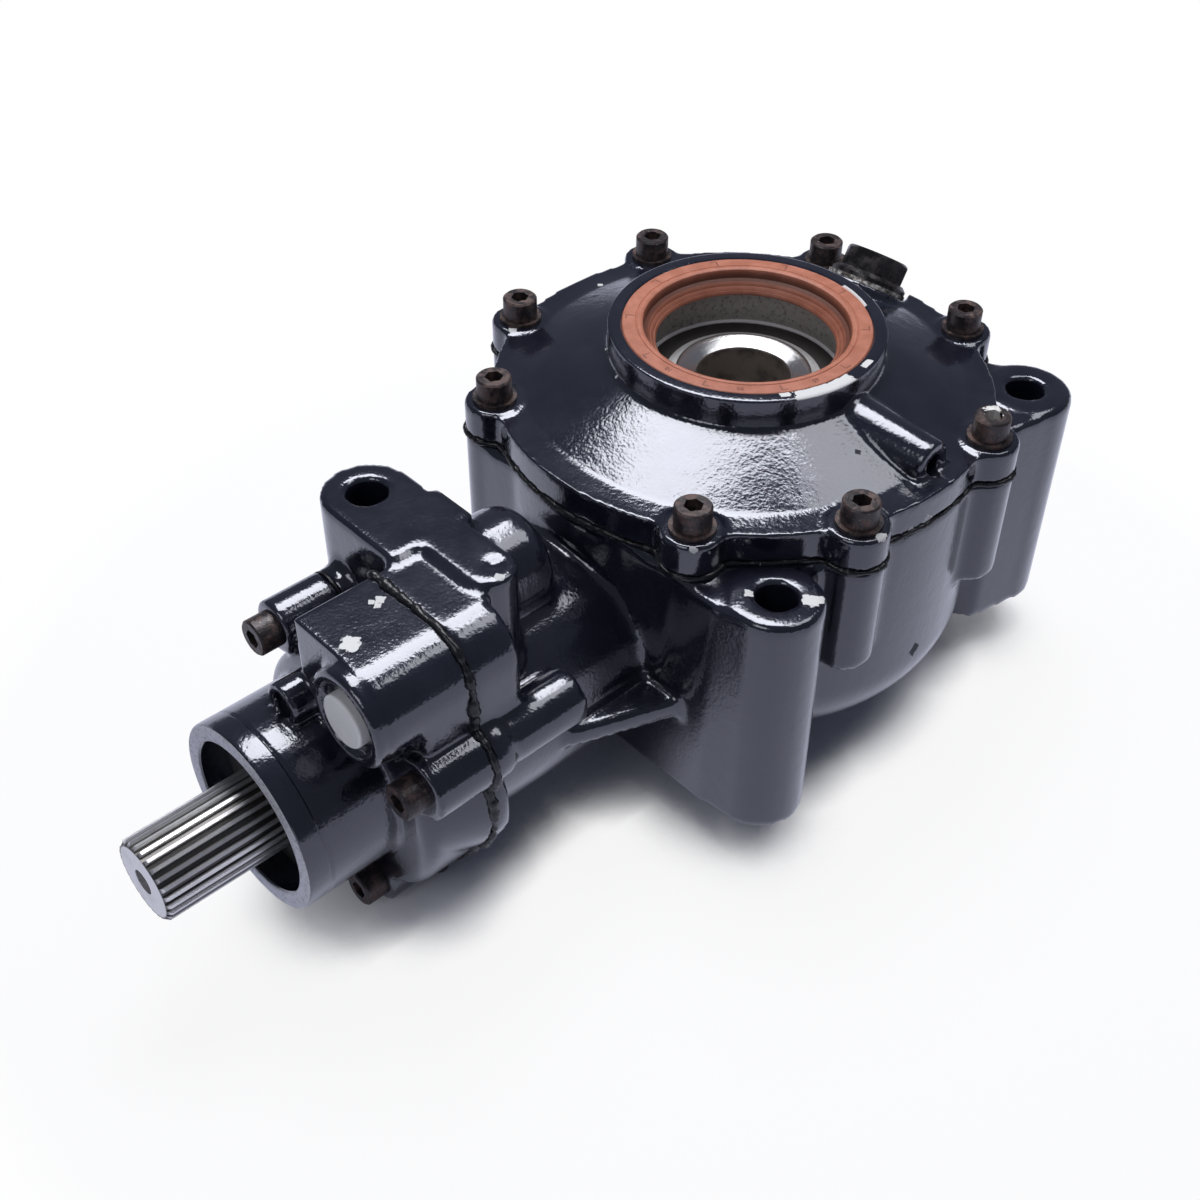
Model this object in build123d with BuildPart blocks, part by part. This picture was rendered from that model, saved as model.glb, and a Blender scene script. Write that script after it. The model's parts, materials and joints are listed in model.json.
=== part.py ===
from build123d import *
import os
from math import acos, atan2, cos, degrees, hypot, pi, radians, sin, sqrt, tan

# Rear differential of a utility vehicle: a ring gear and bevel pinion in a cast case.
# Frame: origin where the axle axis crosses the pinion axis, +Z along the axle axis
# towards the side cover, -Y towards the splined input shaft, +X towards the vehicle's top.
# Lengths are in millimetres. Places along the input shaft are distances from the axle axis.

os.makedirs("parts", exist_ok=True)

# Fits and clearances
press_gap = 0.02
running_gap = 0.05
bolt_gap = 0.05
side_roller_r = 3.55
line_roller_r = 4.35

# Axle seals and side bearings
seal_outer_r = 45.0
seal_lip_r = 32.5
seal_width = 10.0
side_bearing_inner_r = 25.0
side_bearing_width = 16.0
side_race_wall = 3.9
side_bearing_outer_r = side_bearing_inner_r + 2 * (side_race_wall + side_roller_r + running_gap)

# Heights along the axle axis
cover_top_z = 91.8
cover_joint_z = 56.8
gasket_thickness = 0.8
cover_flange_height = 11.5
cover_pad_rise = 1.0
upper_bearing_top_z = 69.3
lower_bearing_low_z = -34.0
case_floor_z = -40.0
lower_collar_z = -58.0
cavity_floor_z = -30.0

# Cover
cover_collar_r = 50.15
cover_collar_height = 10.9
cover_cone_r = 82.0
flange_r = 92.0
cavity_r = 79.0
cover_shell = 7.0
bearing_boss_wall = 6.5
seal_shoulder_r = 37.4

# Cover screws
cover_bolt_circle_r = 91.85
cover_bolt_angles = (33.0, 67.7, 112.7, 157.7, -33.0, -67.7, -112.7, -157.7)
cover_boss_r = 11.0
case_boss_low_z = 11.3
screw_r = 4.0
screw_head_r = 6.5
screw_head_height = 8.0
socket_across_flats = 6.0
socket_depth = 4.5
washer_r = 8.0
washer_thickness = 1.2
cover_screw_length = 42.0
nose_screw_length = 34.0

# Case
case_wall_r = 92.0
case_edge_round = 30.0
front_wall_y = -87.5
block_left_x = -50.0
block_top_z = 54.8
mount_bore_r = 7.1
mount_pad_rise = 1.0
top_mount_x, top_mount_y = 81.8, -69.4
top_mount_tube_r = 16.5
top_mount_pad_r = 15.0
rear_mount_x, rear_mount_y = 64.7, 88.4
rear_mount_tube_r = 17.75
rear_mount_pad_r = 15.5
low_mount_x, low_mount_y = -34.3, -145.5
low_mount_r = 15.75
arm_top_z = 71.8

# Gears
gear_module = 3.75
ring_teeth = 37
pinion_teeth = 11
gear_face = 22.0
ring_back_z = 33.0
ring_bore_r = 44.0
tooth_share = 0.45
side_module = 3.5
side_teeth = 16
spider_teeth = 10
side_face = 10.0
gear_shift = 0.35
side_shift = 0.3

# Differential case
ring_seat_step = 2.0
carrier_barrel_r = ring_bore_r - ring_seat_step
spider_room_r = 22.4
spider_room_half = 30.0
spider_seat_r = 15.6
carrier_well_r = 29.6
carrier_well_half = 28.0
carrier_flange_r = 65.0
carrier_flange_thickness = 6.5
carrier_cap_thickness = 5.5
carrier_bolt_circle_r = 56.0
carrier_bolt_count = 8
hub_bore_r = 17.6
hub_proud = 2.3
side_hub_r = 21.0
side_hub_length = 4.5
cross_pin_r = 6.5
carrier_bolt_r = 4.0
carrier_bolt_hex = 13.0
carrier_bolt_head = 5.3
carrier_cap_neck_r = 42.0
axle_r = 13.0
washer_gap = 1.2
thrust_washer_thickness = 1.0
spider_back = 34.5

# Input line, stacked outwards from the pinion's back
shaft_r = 15.0
shaft_bearing_width = 16.0
shaft_bore_narrow_r = 24.0
shaft_race_wall = 3.6
shaft_bearing_outer_r = shaft_r + 2 * (shaft_race_wall + line_roller_r + running_gap)
pinion_back = 72.5
pinion_shoulder_width = 6.5
pinion_spacer_length = 24.0
lock_nut_width = 8.0
nut_to_hub = 2.0
dog_hub_width = 11.0
dog_length = 4.0
dog_room = 1.0
clutch_length = 20.0
clutch_travel = 9.0
clutch_end_room = 2.0
clutch_r = 26.0
bearing_to_seal = 3.0
input_seal_width = 10.0
seal_to_spline = 2.0
spline_length = 47.3
spline_major_r = 14.63
spline_minor_r = 13.2
spline_teeth = 26
shaft_centre_r = 4.5
input_shoulder_r = 25.0
lock_nut_r = 22.0
pinion_shoulder_r = 21.0
spigot_r = 8.0
spigot_length = 16.0
hub_seat_r = 14.0
clutch_bore_r = 18.0
dog_outer_r = 23.0
dog_inner_r = 19.8
dog_gap_angle = 36.0
dog_end_gap = 0.3
groove_place = 10.0
groove_width = 5.0
groove_r = 22.0
fork_outer_r = 30.0
fork_gap = 0.4
head_bearing_near = pinion_back + pinion_shoulder_width
tail_bearing_near = head_bearing_near + shaft_bearing_width + pinion_spacer_length
hub_near = tail_bearing_near + shaft_bearing_width + lock_nut_width + nut_to_hub
clutch_near = hub_near + dog_hub_width
hub_start = clutch_near + dog_length + dog_room
groove_near = clutch_near + groove_place
input_bearing_near = clutch_near + clutch_length + clutch_travel + clutch_end_room
input_seal_near = input_bearing_near + shaft_bearing_width + bearing_to_seal
spline_near = input_seal_near + input_seal_width + seal_to_spline
shaft_end = spline_near + spline_length

# Nose
neck_r = 42.0
neck_cavity_r = 33.0
case_past_clutch = 12.0
nose_gasket_thickness = 0.8
joint_flange_thickness = 7.0
cap_body_x, cap_body_z, cap_body_r = 3.5, -2.0, 45.0
cap_body_length = 22.2
cap_body_round = 5.0
lobe_x, lobe_z, lobe_r = 26.5, 1.0, 28.5
lobe_length = 18.2
low_lobe_x, low_lobe_z, low_lobe_r = 20.0, -23.0, 20.0
lobe_taper = 3.0
collar_r = 34.57
collar_bore_r = 28.07
collar_past_seal = 10.9
collar_bead_width = 8.4
bump_x, bump_z, bump_r = 30.0, 52.0, 17.6
bump_case_length = 19.5
bump_cap_length = 29.7
bump_left_x = -1.0
plug_boss_r = 17.2
plug_boss_round = 2.0
plug_boss_proud = 5.5
plug_r = 9.3
plug_recess_r = 13.3
plug_recess_depth = 3.0
plug_proud = 1.0
plug_length = 12.0
rod_z = 39.0
rod_r = 4.5
rod_length = 83.0
rod_end_wall = 13.0
rod_boss_r = 12.5
rod_room_r = 9.0
stub_r = 7.5
stub_length = 39.2
stub_past_rod = 5.0
nose_bolts = ((-28.9, 41.9), (46.3, 24.6), (-43.0, -20.0), (15.0, -47.0))
nose_boss_r = 9.5
right_boss_r = 11.5
column_length = 40.0
rear_boss_x, rear_boss_z, rear_boss_r = 1.0, 46.5, 19.5
rear_boss_round = 8.0
pad_hole_x, pad_hole_y = 22.5, -138.0
pad_end_y = -140.0
pad_end_r = 9.0
nose_joint = clutch_near + case_past_clutch
cap_near = nose_joint + nose_gasket_thickness
joint_flange_near = nose_joint - joint_flange_thickness
column_near = nose_joint - column_length
cap_body_far = cap_near + cap_body_length
lobe_far = cap_near + lobe_length
bump_near = nose_joint - bump_case_length
bump_far = cap_near + bump_cap_length
plug_boss_far = bump_far + plug_boss_proud
stub_far = cap_near + stub_length
rod_far = stub_far - stub_past_rod
rod_near = rod_far - rod_length
rear_boss_near = rod_near - rod_end_wall
collar_far = input_seal_near + input_seal_width + collar_past_seal
collar_groove_near = collar_far - collar_bead_width

# Fill plug, seated on a tilted spot face at the cover's rim
fill_azimuth = 97.0
fill_tilt = 35.5
fill_seat_r = 81.4
fill_seat_z = 70.0
fill_hex = 24.0
fill_thread_r = 10.0
fill_flange_r = 15.5
fill_boss_r = 17.0


def turned_about_axle(points):
    """A solid turned about the axle axis from its half section, given as (radius, height)."""
    with BuildPart() as turned:
        with BuildSketch(Plane.XZ):
            with BuildLine():
                Polyline(*points, close=True)
            make_face()
        revolve(axis=Axis.Z)
    return turned.part


def turned_about_pinion(points):
    """A solid turned about the pinion axis, from (radius, distance from the axle axis)."""
    with BuildPart() as turned:
        with BuildSketch(Plane.XY):
            with BuildLine():
                Polyline(*[(radius, -distance) for radius, distance in points], close=True)
            make_face()
        revolve(axis=Axis.Y)
    return turned.part


def socket_screw(length):
    """A socket head cap screw that seats at z = 0, with its shank down."""
    with BuildPart() as screw:
        with BuildSketch():
            Circle(screw_head_r)
        extrude(amount=screw_head_height)
        chamfer(screw.faces().sort_by(Axis.Z)[-1].edges(), 0.6)
        with BuildSketch(Plane.XY.offset(screw_head_height)):
            RegularPolygon(socket_across_flats / 2, 6, major_radius=False)
        extrude(amount=-socket_depth, mode=Mode.SUBTRACT)
        with BuildSketch():
            Circle(screw_r)
        extrude(amount=-length)
    return screw.part


def plain_washer(inner, outer, thickness):
    """A flat washer that lies on z = 0."""
    with BuildPart() as washer:
        with BuildSketch():
            Circle(outer)
            Circle(inner, mode=Mode.SUBTRACT)
        extrude(amount=thickness)
    return washer.part


def hex_plug(across_flats, flange, thread, depth):
    """A flanged hex plug that seats at z = 0, with its thread down."""
    corner = across_flats / sqrt(3)
    flange_height = 3.2
    head_top = 11.5
    with BuildPart() as plug:
        with BuildSketch():
            RegularPolygon(across_flats / 2, 6, major_radius=False)
        extrude(amount=head_top)
        with BuildSketch(Plane.XZ):
            with BuildLine():
                Polyline((0, 0), (corner, 0), (corner, head_top - 1.4), (corner - 2.4, head_top),
                         (0, head_top), close=True)
            make_face()
        revolve(axis=Axis.Z, mode=Mode.INTERSECT)
        with BuildSketch(Plane.XZ):
            with BuildLine():
                Polyline((0, 0), (flange, 0), (flange, 1.6), (corner, flange_height),
                         (0, flange_height), close=True)
            make_face()
        revolve(axis=Axis.Z)
        with BuildSketch():
            Circle(thread)
        extrude(amount=-depth)
    return plug.part


# Places worked out from the driving dimensions
case_top_z = cover_joint_z - gasket_thickness
upper_bearing_low_z = upper_bearing_top_z - side_bearing_width
lower_bearing_top_z = lower_bearing_low_z + side_bearing_width
diff_centre_z = (upper_bearing_low_z + lower_bearing_top_z) / 2
cover_pad_z = cover_joint_z + cover_flange_height + cover_pad_rise
hub_top_z = upper_bearing_top_z + hub_proud
hub_low_z = lower_bearing_low_z - hub_proud
cover_bolts_at = [
    (cover_bolt_circle_r * sin(radians(a)), -cover_bolt_circle_r * cos(radians(a)))
    for a in cover_bolt_angles
]
nose_seat = cap_body_far
flange_top_z = carrier_flange_thickness + ring_back_z
cap_top_z = flange_top_z + carrier_cap_thickness

# Tilted plane of the fill plug's seat: its normal leans outwards from the axle axis
fill_radial = Vector(cos(radians(fill_azimuth)), sin(radians(fill_azimuth)), 0)
fill_normal = fill_radial * sin(radians(fill_tilt)) + Vector(0, 0, cos(radians(fill_tilt)))
fill_plane = Plane(
    origin=fill_radial * fill_seat_r + Vector(0, 0, fill_seat_z),
    x_dir=Vector(-fill_radial.Y, fill_radial.X, 0),
    z_dir=fill_normal,
)
drain_plane = Plane(origin=(-case_wall_r - 6.0, 0, 0), x_dir=(0, 1, 0), z_dir=(-1, 0, 0))
drain_thread_r = 8.0
drain_flange_r = 13.0
drain_hex = 19.0
plug_washer_thickness = 1.6


def rim_outline():
    """The cover's rim: a disc with a lug round each screw, blended by small arcs."""
    with BuildSketch() as rim:
        Circle(flange_r)
        with Locations(*cover_bolts_at):
            Circle(cover_boss_r)
        fillet(rim.vertices(), 5.0)
    return rim.sketch


def bump_outline():
    """The outline of the bump above the pinion, flat on top and round on the right."""
    with BuildSketch() as outline:
        with Locations((bump_x, bump_z)):
            Circle(bump_r)
        with BuildLine():
            Polyline((bump_left_x, 16), (bump_x + bump_r, 16), (bump_x + bump_r, bump_z),
                     (bump_x, bump_z), (bump_x, bump_z + bump_r), (bump_left_x, bump_z + bump_r),
                     close=True)
        make_face()
    return outline.sketch


def nose_outline():
    """The outline of the joint between case and nose cap, seen along the input shaft."""
    with BuildSketch() as outline:
        with Locations((cap_body_x, cap_body_z)):
            Circle(cap_body_r)
        with Locations((lobe_x, lobe_z)):
            Circle(lobe_r)
        with Locations((low_lobe_x, low_lobe_z)):
            Circle(low_lobe_r)
        with Locations((0, rod_z)):
            Circle(rod_boss_r)
        with Locations(*nose_bolts):
            Circle(nose_boss_r)
        with Locations(nose_bolts[1]):
            Circle(right_boss_r)
        add(bump_outline())
    return outline.sketch


def joint_lobe(x, z, radius):
    """A lobe of the nose cap that narrows from the joint towards its front."""
    with BuildPart() as lobe:
        with BuildSketch(Plane.XZ.offset(cap_near)):
            with Locations((x, z)):
                Circle(radius)
        with BuildSketch(Plane.XZ.offset(lobe_far)):
            with Locations((x - lobe_taper, z)):
                Circle(radius - lobe_taper)
        loft()
    return lobe.part


# Gear case
with BuildPart() as gear_case:
    # Drum with a rounded lower edge, a floor and the lower seal collar
    with BuildSketch(Plane.XZ):
        with BuildLine():
            edge_x = case_wall_r - case_edge_round
            edge_z = case_floor_z + case_edge_round
            Line((0, case_top_z), (case_wall_r, case_top_z))
            Line((case_wall_r, case_top_z), (case_wall_r, edge_z))
            RadiusArc((case_wall_r, edge_z), (edge_x, case_floor_z), case_edge_round)
            Line((edge_x, case_floor_z), (cover_collar_r, case_floor_z - 4))
            Line((cover_collar_r, case_floor_z - 4), (cover_collar_r, lower_collar_z))
            Line((cover_collar_r, lower_collar_z), (0, lower_collar_z))
            Line((0, lower_collar_z), (0, case_top_z))
        make_face()
    revolve(axis=Axis.Z)
    # Rim and screw columns below the cover
    with BuildSketch(Plane.XY.offset(case_top_z)):
        add(rim_outline())
    extrude(amount=case_boss_low_z - case_top_z)
    # Square front with the upper front mount
    with BuildSketch(Plane.XY.offset(case_floor_z)):
        with BuildLine():
            Polyline((block_left_x, front_wall_y), (top_mount_x - 12, front_wall_y),
                     (top_mount_x, top_mount_y - top_mount_tube_r), (top_mount_x, -44),
                     (40, -30), (block_left_x, -30), close=True)
        make_face()
        with Locations(cover_bolts_at[4]):
            Circle(cover_boss_r - 0.6)
        with Locations((top_mount_x, top_mount_y)):
            Circle(top_mount_tube_r)
    extrude(amount=block_top_z - case_floor_z)
    # Lobe that carries the rear mount
    with BuildSketch(Plane.XY.offset(case_floor_z + 2)):
        with BuildLine():
            Polyline((40, 40), (77.6, 62.4), (82.3, 87.0), (60.0, 105.5), (40, 92), (30, 80),
                     close=True)
        make_face()
        with Locations((rear_mount_x, rear_mount_y)):
            Circle(rear_mount_tube_r)
    extrude(amount=block_top_z - case_floor_z - 2)
    # Raised pads round the two mounts
    with BuildSketch(Plane.XY.offset(block_top_z)):
        with Locations((top_mount_x, top_mount_y)):
            Circle(top_mount_pad_r)
        with Locations((rear_mount_x, rear_mount_y)):
            Circle(rear_mount_pad_r)
    extrude(amount=mount_pad_rise)
    # Neck round the pinion, up to the flange
    with BuildSketch(Plane.XZ.offset(60)):
        Circle(neck_r)
    extrude(amount=joint_flange_near + 1 - 60)
    # Flange, bump and screw columns that carry the nose cap
    with BuildSketch(Plane.XZ.offset(joint_flange_near)):
        add(nose_outline())
    extrude(amount=nose_joint - joint_flange_near)
    with BuildSketch(Plane.XZ.offset(bump_near)):
        add(bump_outline())
        with Locations((0, rod_z)):
            Circle(rod_boss_r)
        with Locations(*nose_bolts):
            Circle(nose_boss_r)
    extrude(amount=nose_joint - bump_near)
    with BuildSketch(Plane.XZ.offset(column_near)):
        with Locations(nose_bolts[1]):
            Circle(right_boss_r - 1.5)
    extrude(amount=nose_joint - column_near)
    # Arm and tube of the low mount
    with BuildSketch(Plane.XY.offset(case_floor_z)):
        with Locations((low_mount_x, low_mount_y)):
            Circle(low_mount_r)
    extrude(amount=arm_top_z - case_floor_z)
    with BuildSketch(Plane.XY.offset(20)):
        with BuildLine():
            Polyline((low_mount_x, low_mount_y - low_mount_r), (bump_left_x, low_mount_y - low_mount_r),
                     (bump_left_x, low_mount_y + low_mount_r), (low_mount_x, low_mount_y + low_mount_r),
                     close=True)
        make_face()
    extrude(amount=arm_top_z - 20)
    # Raised pad with the threaded hole
    with BuildSketch(Plane.XY.offset(25)):
        with BuildLine():
            Polyline((-20, -149), (pad_hole_x, -149), (pad_hole_x, pad_end_y + pad_end_r),
                     (bump_left_x, pad_end_y + pad_end_r), (bump_left_x, -126.5), (-20, -126.5),
                     close=True)
        make_face()
        with Locations((pad_hole_x, pad_end_y)):
            Circle(pad_end_r)
    extrude(amount=arm_top_z - 25)
    # Round boss over the inner end of the selector rod
    with BuildPart(mode=Mode.PRIVATE) as rear_boss:
        with BuildSketch(Plane.XZ.offset(rear_boss_near)):
            with Locations((rear_boss_x, rear_boss_z)):
                Circle(rear_boss_r)
        extrude(amount=bump_near - rear_boss_near)
        fillet(rear_boss.faces().sort_by(Axis.Y)[-1].edges(), rear_boss_round)
    add(rear_boss.part)
    # Side rib between neck and front wall
    with BuildSketch(Plane.XY.offset(-5)):
        with BuildLine():
            Polyline((34, -126), (45, -126), (60, -86), (34, -86), close=True)
        make_face()
    extrude(amount=8.5)
    # Drain boss
    with BuildSketch(drain_plane):
        Circle(drain_flange_r + 3)
    extrude(amount=-20)
    # Hollow for gears, bearings and seal
    with BuildSketch(Plane.XZ):
        with BuildLine():
            boss_r = side_bearing_outer_r + bearing_boss_wall
            Polyline(
                (0, lower_collar_z - 1), (seal_outer_r + press_gap, lower_collar_z - 1),
                (seal_outer_r + press_gap, lower_collar_z + seal_width),
                (seal_shoulder_r, lower_collar_z + seal_width), (seal_shoulder_r, lower_bearing_low_z),
                (side_bearing_outer_r + press_gap, lower_bearing_low_z),
                (side_bearing_outer_r + press_gap, lower_bearing_top_z),
                (boss_r, lower_bearing_top_z), (boss_r + 1, cavity_floor_z),
                (cavity_r - 6, cavity_floor_z), (cavity_r, cavity_floor_z + 8),
                (cavity_r, case_top_z + 30), (0, case_top_z + 30), close=True)
        make_face()
    revolve(axis=Axis.Z, mode=Mode.SUBTRACT)
    # Bores along the pinion
    with BuildSketch(Plane.XZ.offset(45)):
        Circle(shaft_bearing_outer_r + press_gap)
    extrude(amount=tail_bearing_near + shaft_bearing_width - 45, mode=Mode.SUBTRACT)
    with BuildSketch(Plane.XZ.offset(tail_bearing_near)):
        Circle(shaft_bore_narrow_r)
    extrude(amount=clutch_near - tail_bearing_near, mode=Mode.SUBTRACT)
    with BuildSketch(Plane.XZ.offset(clutch_near - 1)):
        Circle(neck_cavity_r)
        with Locations((0, rod_z)):
            Circle(rod_room_r)
    extrude(amount=nose_joint - clutch_near + 2, mode=Mode.SUBTRACT)
    with BuildSketch(Plane.XZ.offset(head_bearing_near - 2.1)):
        Circle(shaft_bearing_outer_r + 2)
    extrude(amount=2.0, mode=Mode.SUBTRACT)
    # Blind bore for the rod
    with BuildSketch(Plane.XZ.offset(rod_near - 1)):
        with Locations((0, rod_z)):
            Circle(rod_r + running_gap)
    extrude(amount=60, mode=Mode.SUBTRACT)
    # Mount bores and the pad's threaded hole
    with Locations((top_mount_x, top_mount_y, 0), (rear_mount_x, rear_mount_y, 0),
                   (low_mount_x, low_mount_y, 0)):
        Hole(mount_bore_r, depth=200)
    with Locations((pad_hole_x, pad_hole_y, arm_top_z)):
        Hole(2.5, depth=14)
    # Screw holes
    with Locations(*[(x, y, case_top_z) for x, y in cover_bolts_at]):
        Hole(screw_r + bolt_gap, depth=cover_screw_length - 11)
    with BuildSketch(Plane.XZ.offset(nose_seat - nose_screw_length - 1)):
        with Locations(*nose_bolts):
            Circle(screw_r + bolt_gap)
    extrude(amount=60, mode=Mode.SUBTRACT)
    # Drain hole
    with BuildSketch(drain_plane):
        Circle(drain_thread_r + bolt_gap)
    extrude(amount=-40, mode=Mode.SUBTRACT)
gear_case.part.label = "gear_case"
export_step(gear_case.part, "parts/gear_case.step")

# Side cover
collar_foot_z = cover_top_z - cover_collar_height
with BuildPart() as side_cover:
    # Shallow cone up to the seal collar
    with BuildSketch(Plane.XZ):
        with BuildLine():
            Polyline((0, cover_joint_z), (flange_r - 3, cover_joint_z), (flange_r - 3, cover_pad_z - 1.0),
                     (cover_cone_r, cover_pad_z - 0.5), (cover_collar_r, collar_foot_z),
                     (cover_collar_r, cover_top_z - 0.8), (cover_collar_r - 0.8, cover_top_z),
                     (0, cover_top_z), close=True)
        make_face()
    revolve(axis=Axis.Z)
    # Rim with a raised pad at each screw
    with BuildSketch(Plane.XY.offset(cover_joint_z)):
        add(rim_outline())
    extrude(amount=cover_flange_height)
    with BuildSketch(Plane.XY.offset(cover_joint_z + cover_flange_height)):
        with Locations(*cover_bolts_at):
            Circle(cover_boss_r - 0.5)
    extrude(amount=cover_pad_rise)
    # Tapered breather boss
    breather_plane = Plane(
        origin=(45 * cos(radians(3.5)), 45 * sin(radians(3.5)), 71.8),
        x_dir=(0, 0, 1), z_dir=(cos(radians(3.5)), sin(radians(3.5)), 0))
    with BuildSketch(breather_plane):
        Circle(12.0)
    with BuildSketch(breather_plane.offset(39)):
        Circle(8.3)
    loft(ruled=True)
    # Boss of the fill plug, kept above the joint, with its spot face
    with BuildSketch(fill_plane):
        Circle(fill_boss_r)
    extrude(amount=-22)
    with BuildSketch(Plane.XY.offset(cover_joint_z)):
        Rectangle(400, 400)
    extrude(amount=-60, mode=Mode.SUBTRACT)
    with BuildSketch(fill_plane):
        Circle(fill_boss_r)
    extrude(amount=14, mode=Mode.SUBTRACT)
    # Hollow underside with the bearing boss and seal bore
    with BuildSketch(Plane.XZ):
        with BuildLine():
            boss_r = side_bearing_outer_r + bearing_boss_wall
            Polyline(
                (0, cover_joint_z - 10), (cavity_r, cover_joint_z - 10), (cavity_r, cover_joint_z + 5.2),
                (cavity_r - 3, cover_joint_z + 7), (boss_r + 1, collar_foot_z - cover_shell),
                (boss_r, collar_foot_z - cover_shell), (boss_r, upper_bearing_low_z),
                (side_bearing_outer_r + press_gap, upper_bearing_low_z),
                (side_bearing_outer_r + press_gap, upper_bearing_top_z),
                (seal_shoulder_r, upper_bearing_top_z), (seal_shoulder_r, cover_top_z - seal_width),
                (seal_outer_r + press_gap, cover_top_z - seal_width),
                (seal_outer_r + press_gap, cover_top_z + 1), (0, cover_top_z + 1), close=True)
        make_face()
    revolve(axis=Axis.Z, mode=Mode.SUBTRACT)
    # Breather and fill holes
    with BuildSketch(breather_plane.offset(50)):
        Circle(3.75)
    extrude(amount=-46, mode=Mode.SUBTRACT)
    with BuildSketch(fill_plane):
        Circle(fill_thread_r + bolt_gap)
    extrude(amount=-30, mode=Mode.SUBTRACT)
    with Locations(*[(x, y, cover_pad_z + 30) for x, y in cover_bolts_at]):
        Hole(screw_r + bolt_gap, depth=80)
    # Room above the pads for the screw heads
    with Locations(*[(x, y, cover_pad_z) for x, y in cover_bolts_at]):
        Cylinder(washer_r + 0.6, 20, align=(Align.CENTER, Align.CENTER, Align.MIN),
                 mode=Mode.SUBTRACT)
side_cover.part.label = "side_cover"
export_step(side_cover.part, "parts/side_cover.step")

# Gaskets between the castings
with BuildPart() as cover_gasket:
    with BuildSketch(Plane.XY.offset(case_top_z)):
        add(rim_outline())
        Circle(cavity_r, mode=Mode.SUBTRACT)
        with Locations(*cover_bolts_at):
            Circle(screw_r + bolt_gap, mode=Mode.SUBTRACT)
    extrude(amount=gasket_thickness)
cover_gasket.part.label = "cover_gasket"
export_step(cover_gasket.part, "parts/cover_gasket.step")

with BuildPart() as nose_gasket:
    with BuildSketch(Plane.XZ.offset(nose_joint)):
        add(nose_outline())
        Circle(neck_cavity_r, mode=Mode.SUBTRACT)
        with Locations((0, rod_z)):
            Circle(rod_room_r, mode=Mode.SUBTRACT)
        with Locations(*nose_bolts):
            Circle(screw_r + bolt_gap, mode=Mode.SUBTRACT)
    extrude(amount=nose_gasket_thickness)
nose_gasket.part.label = "nose_gasket"
export_step(nose_gasket.part, "parts/nose_gasket.step")

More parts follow.
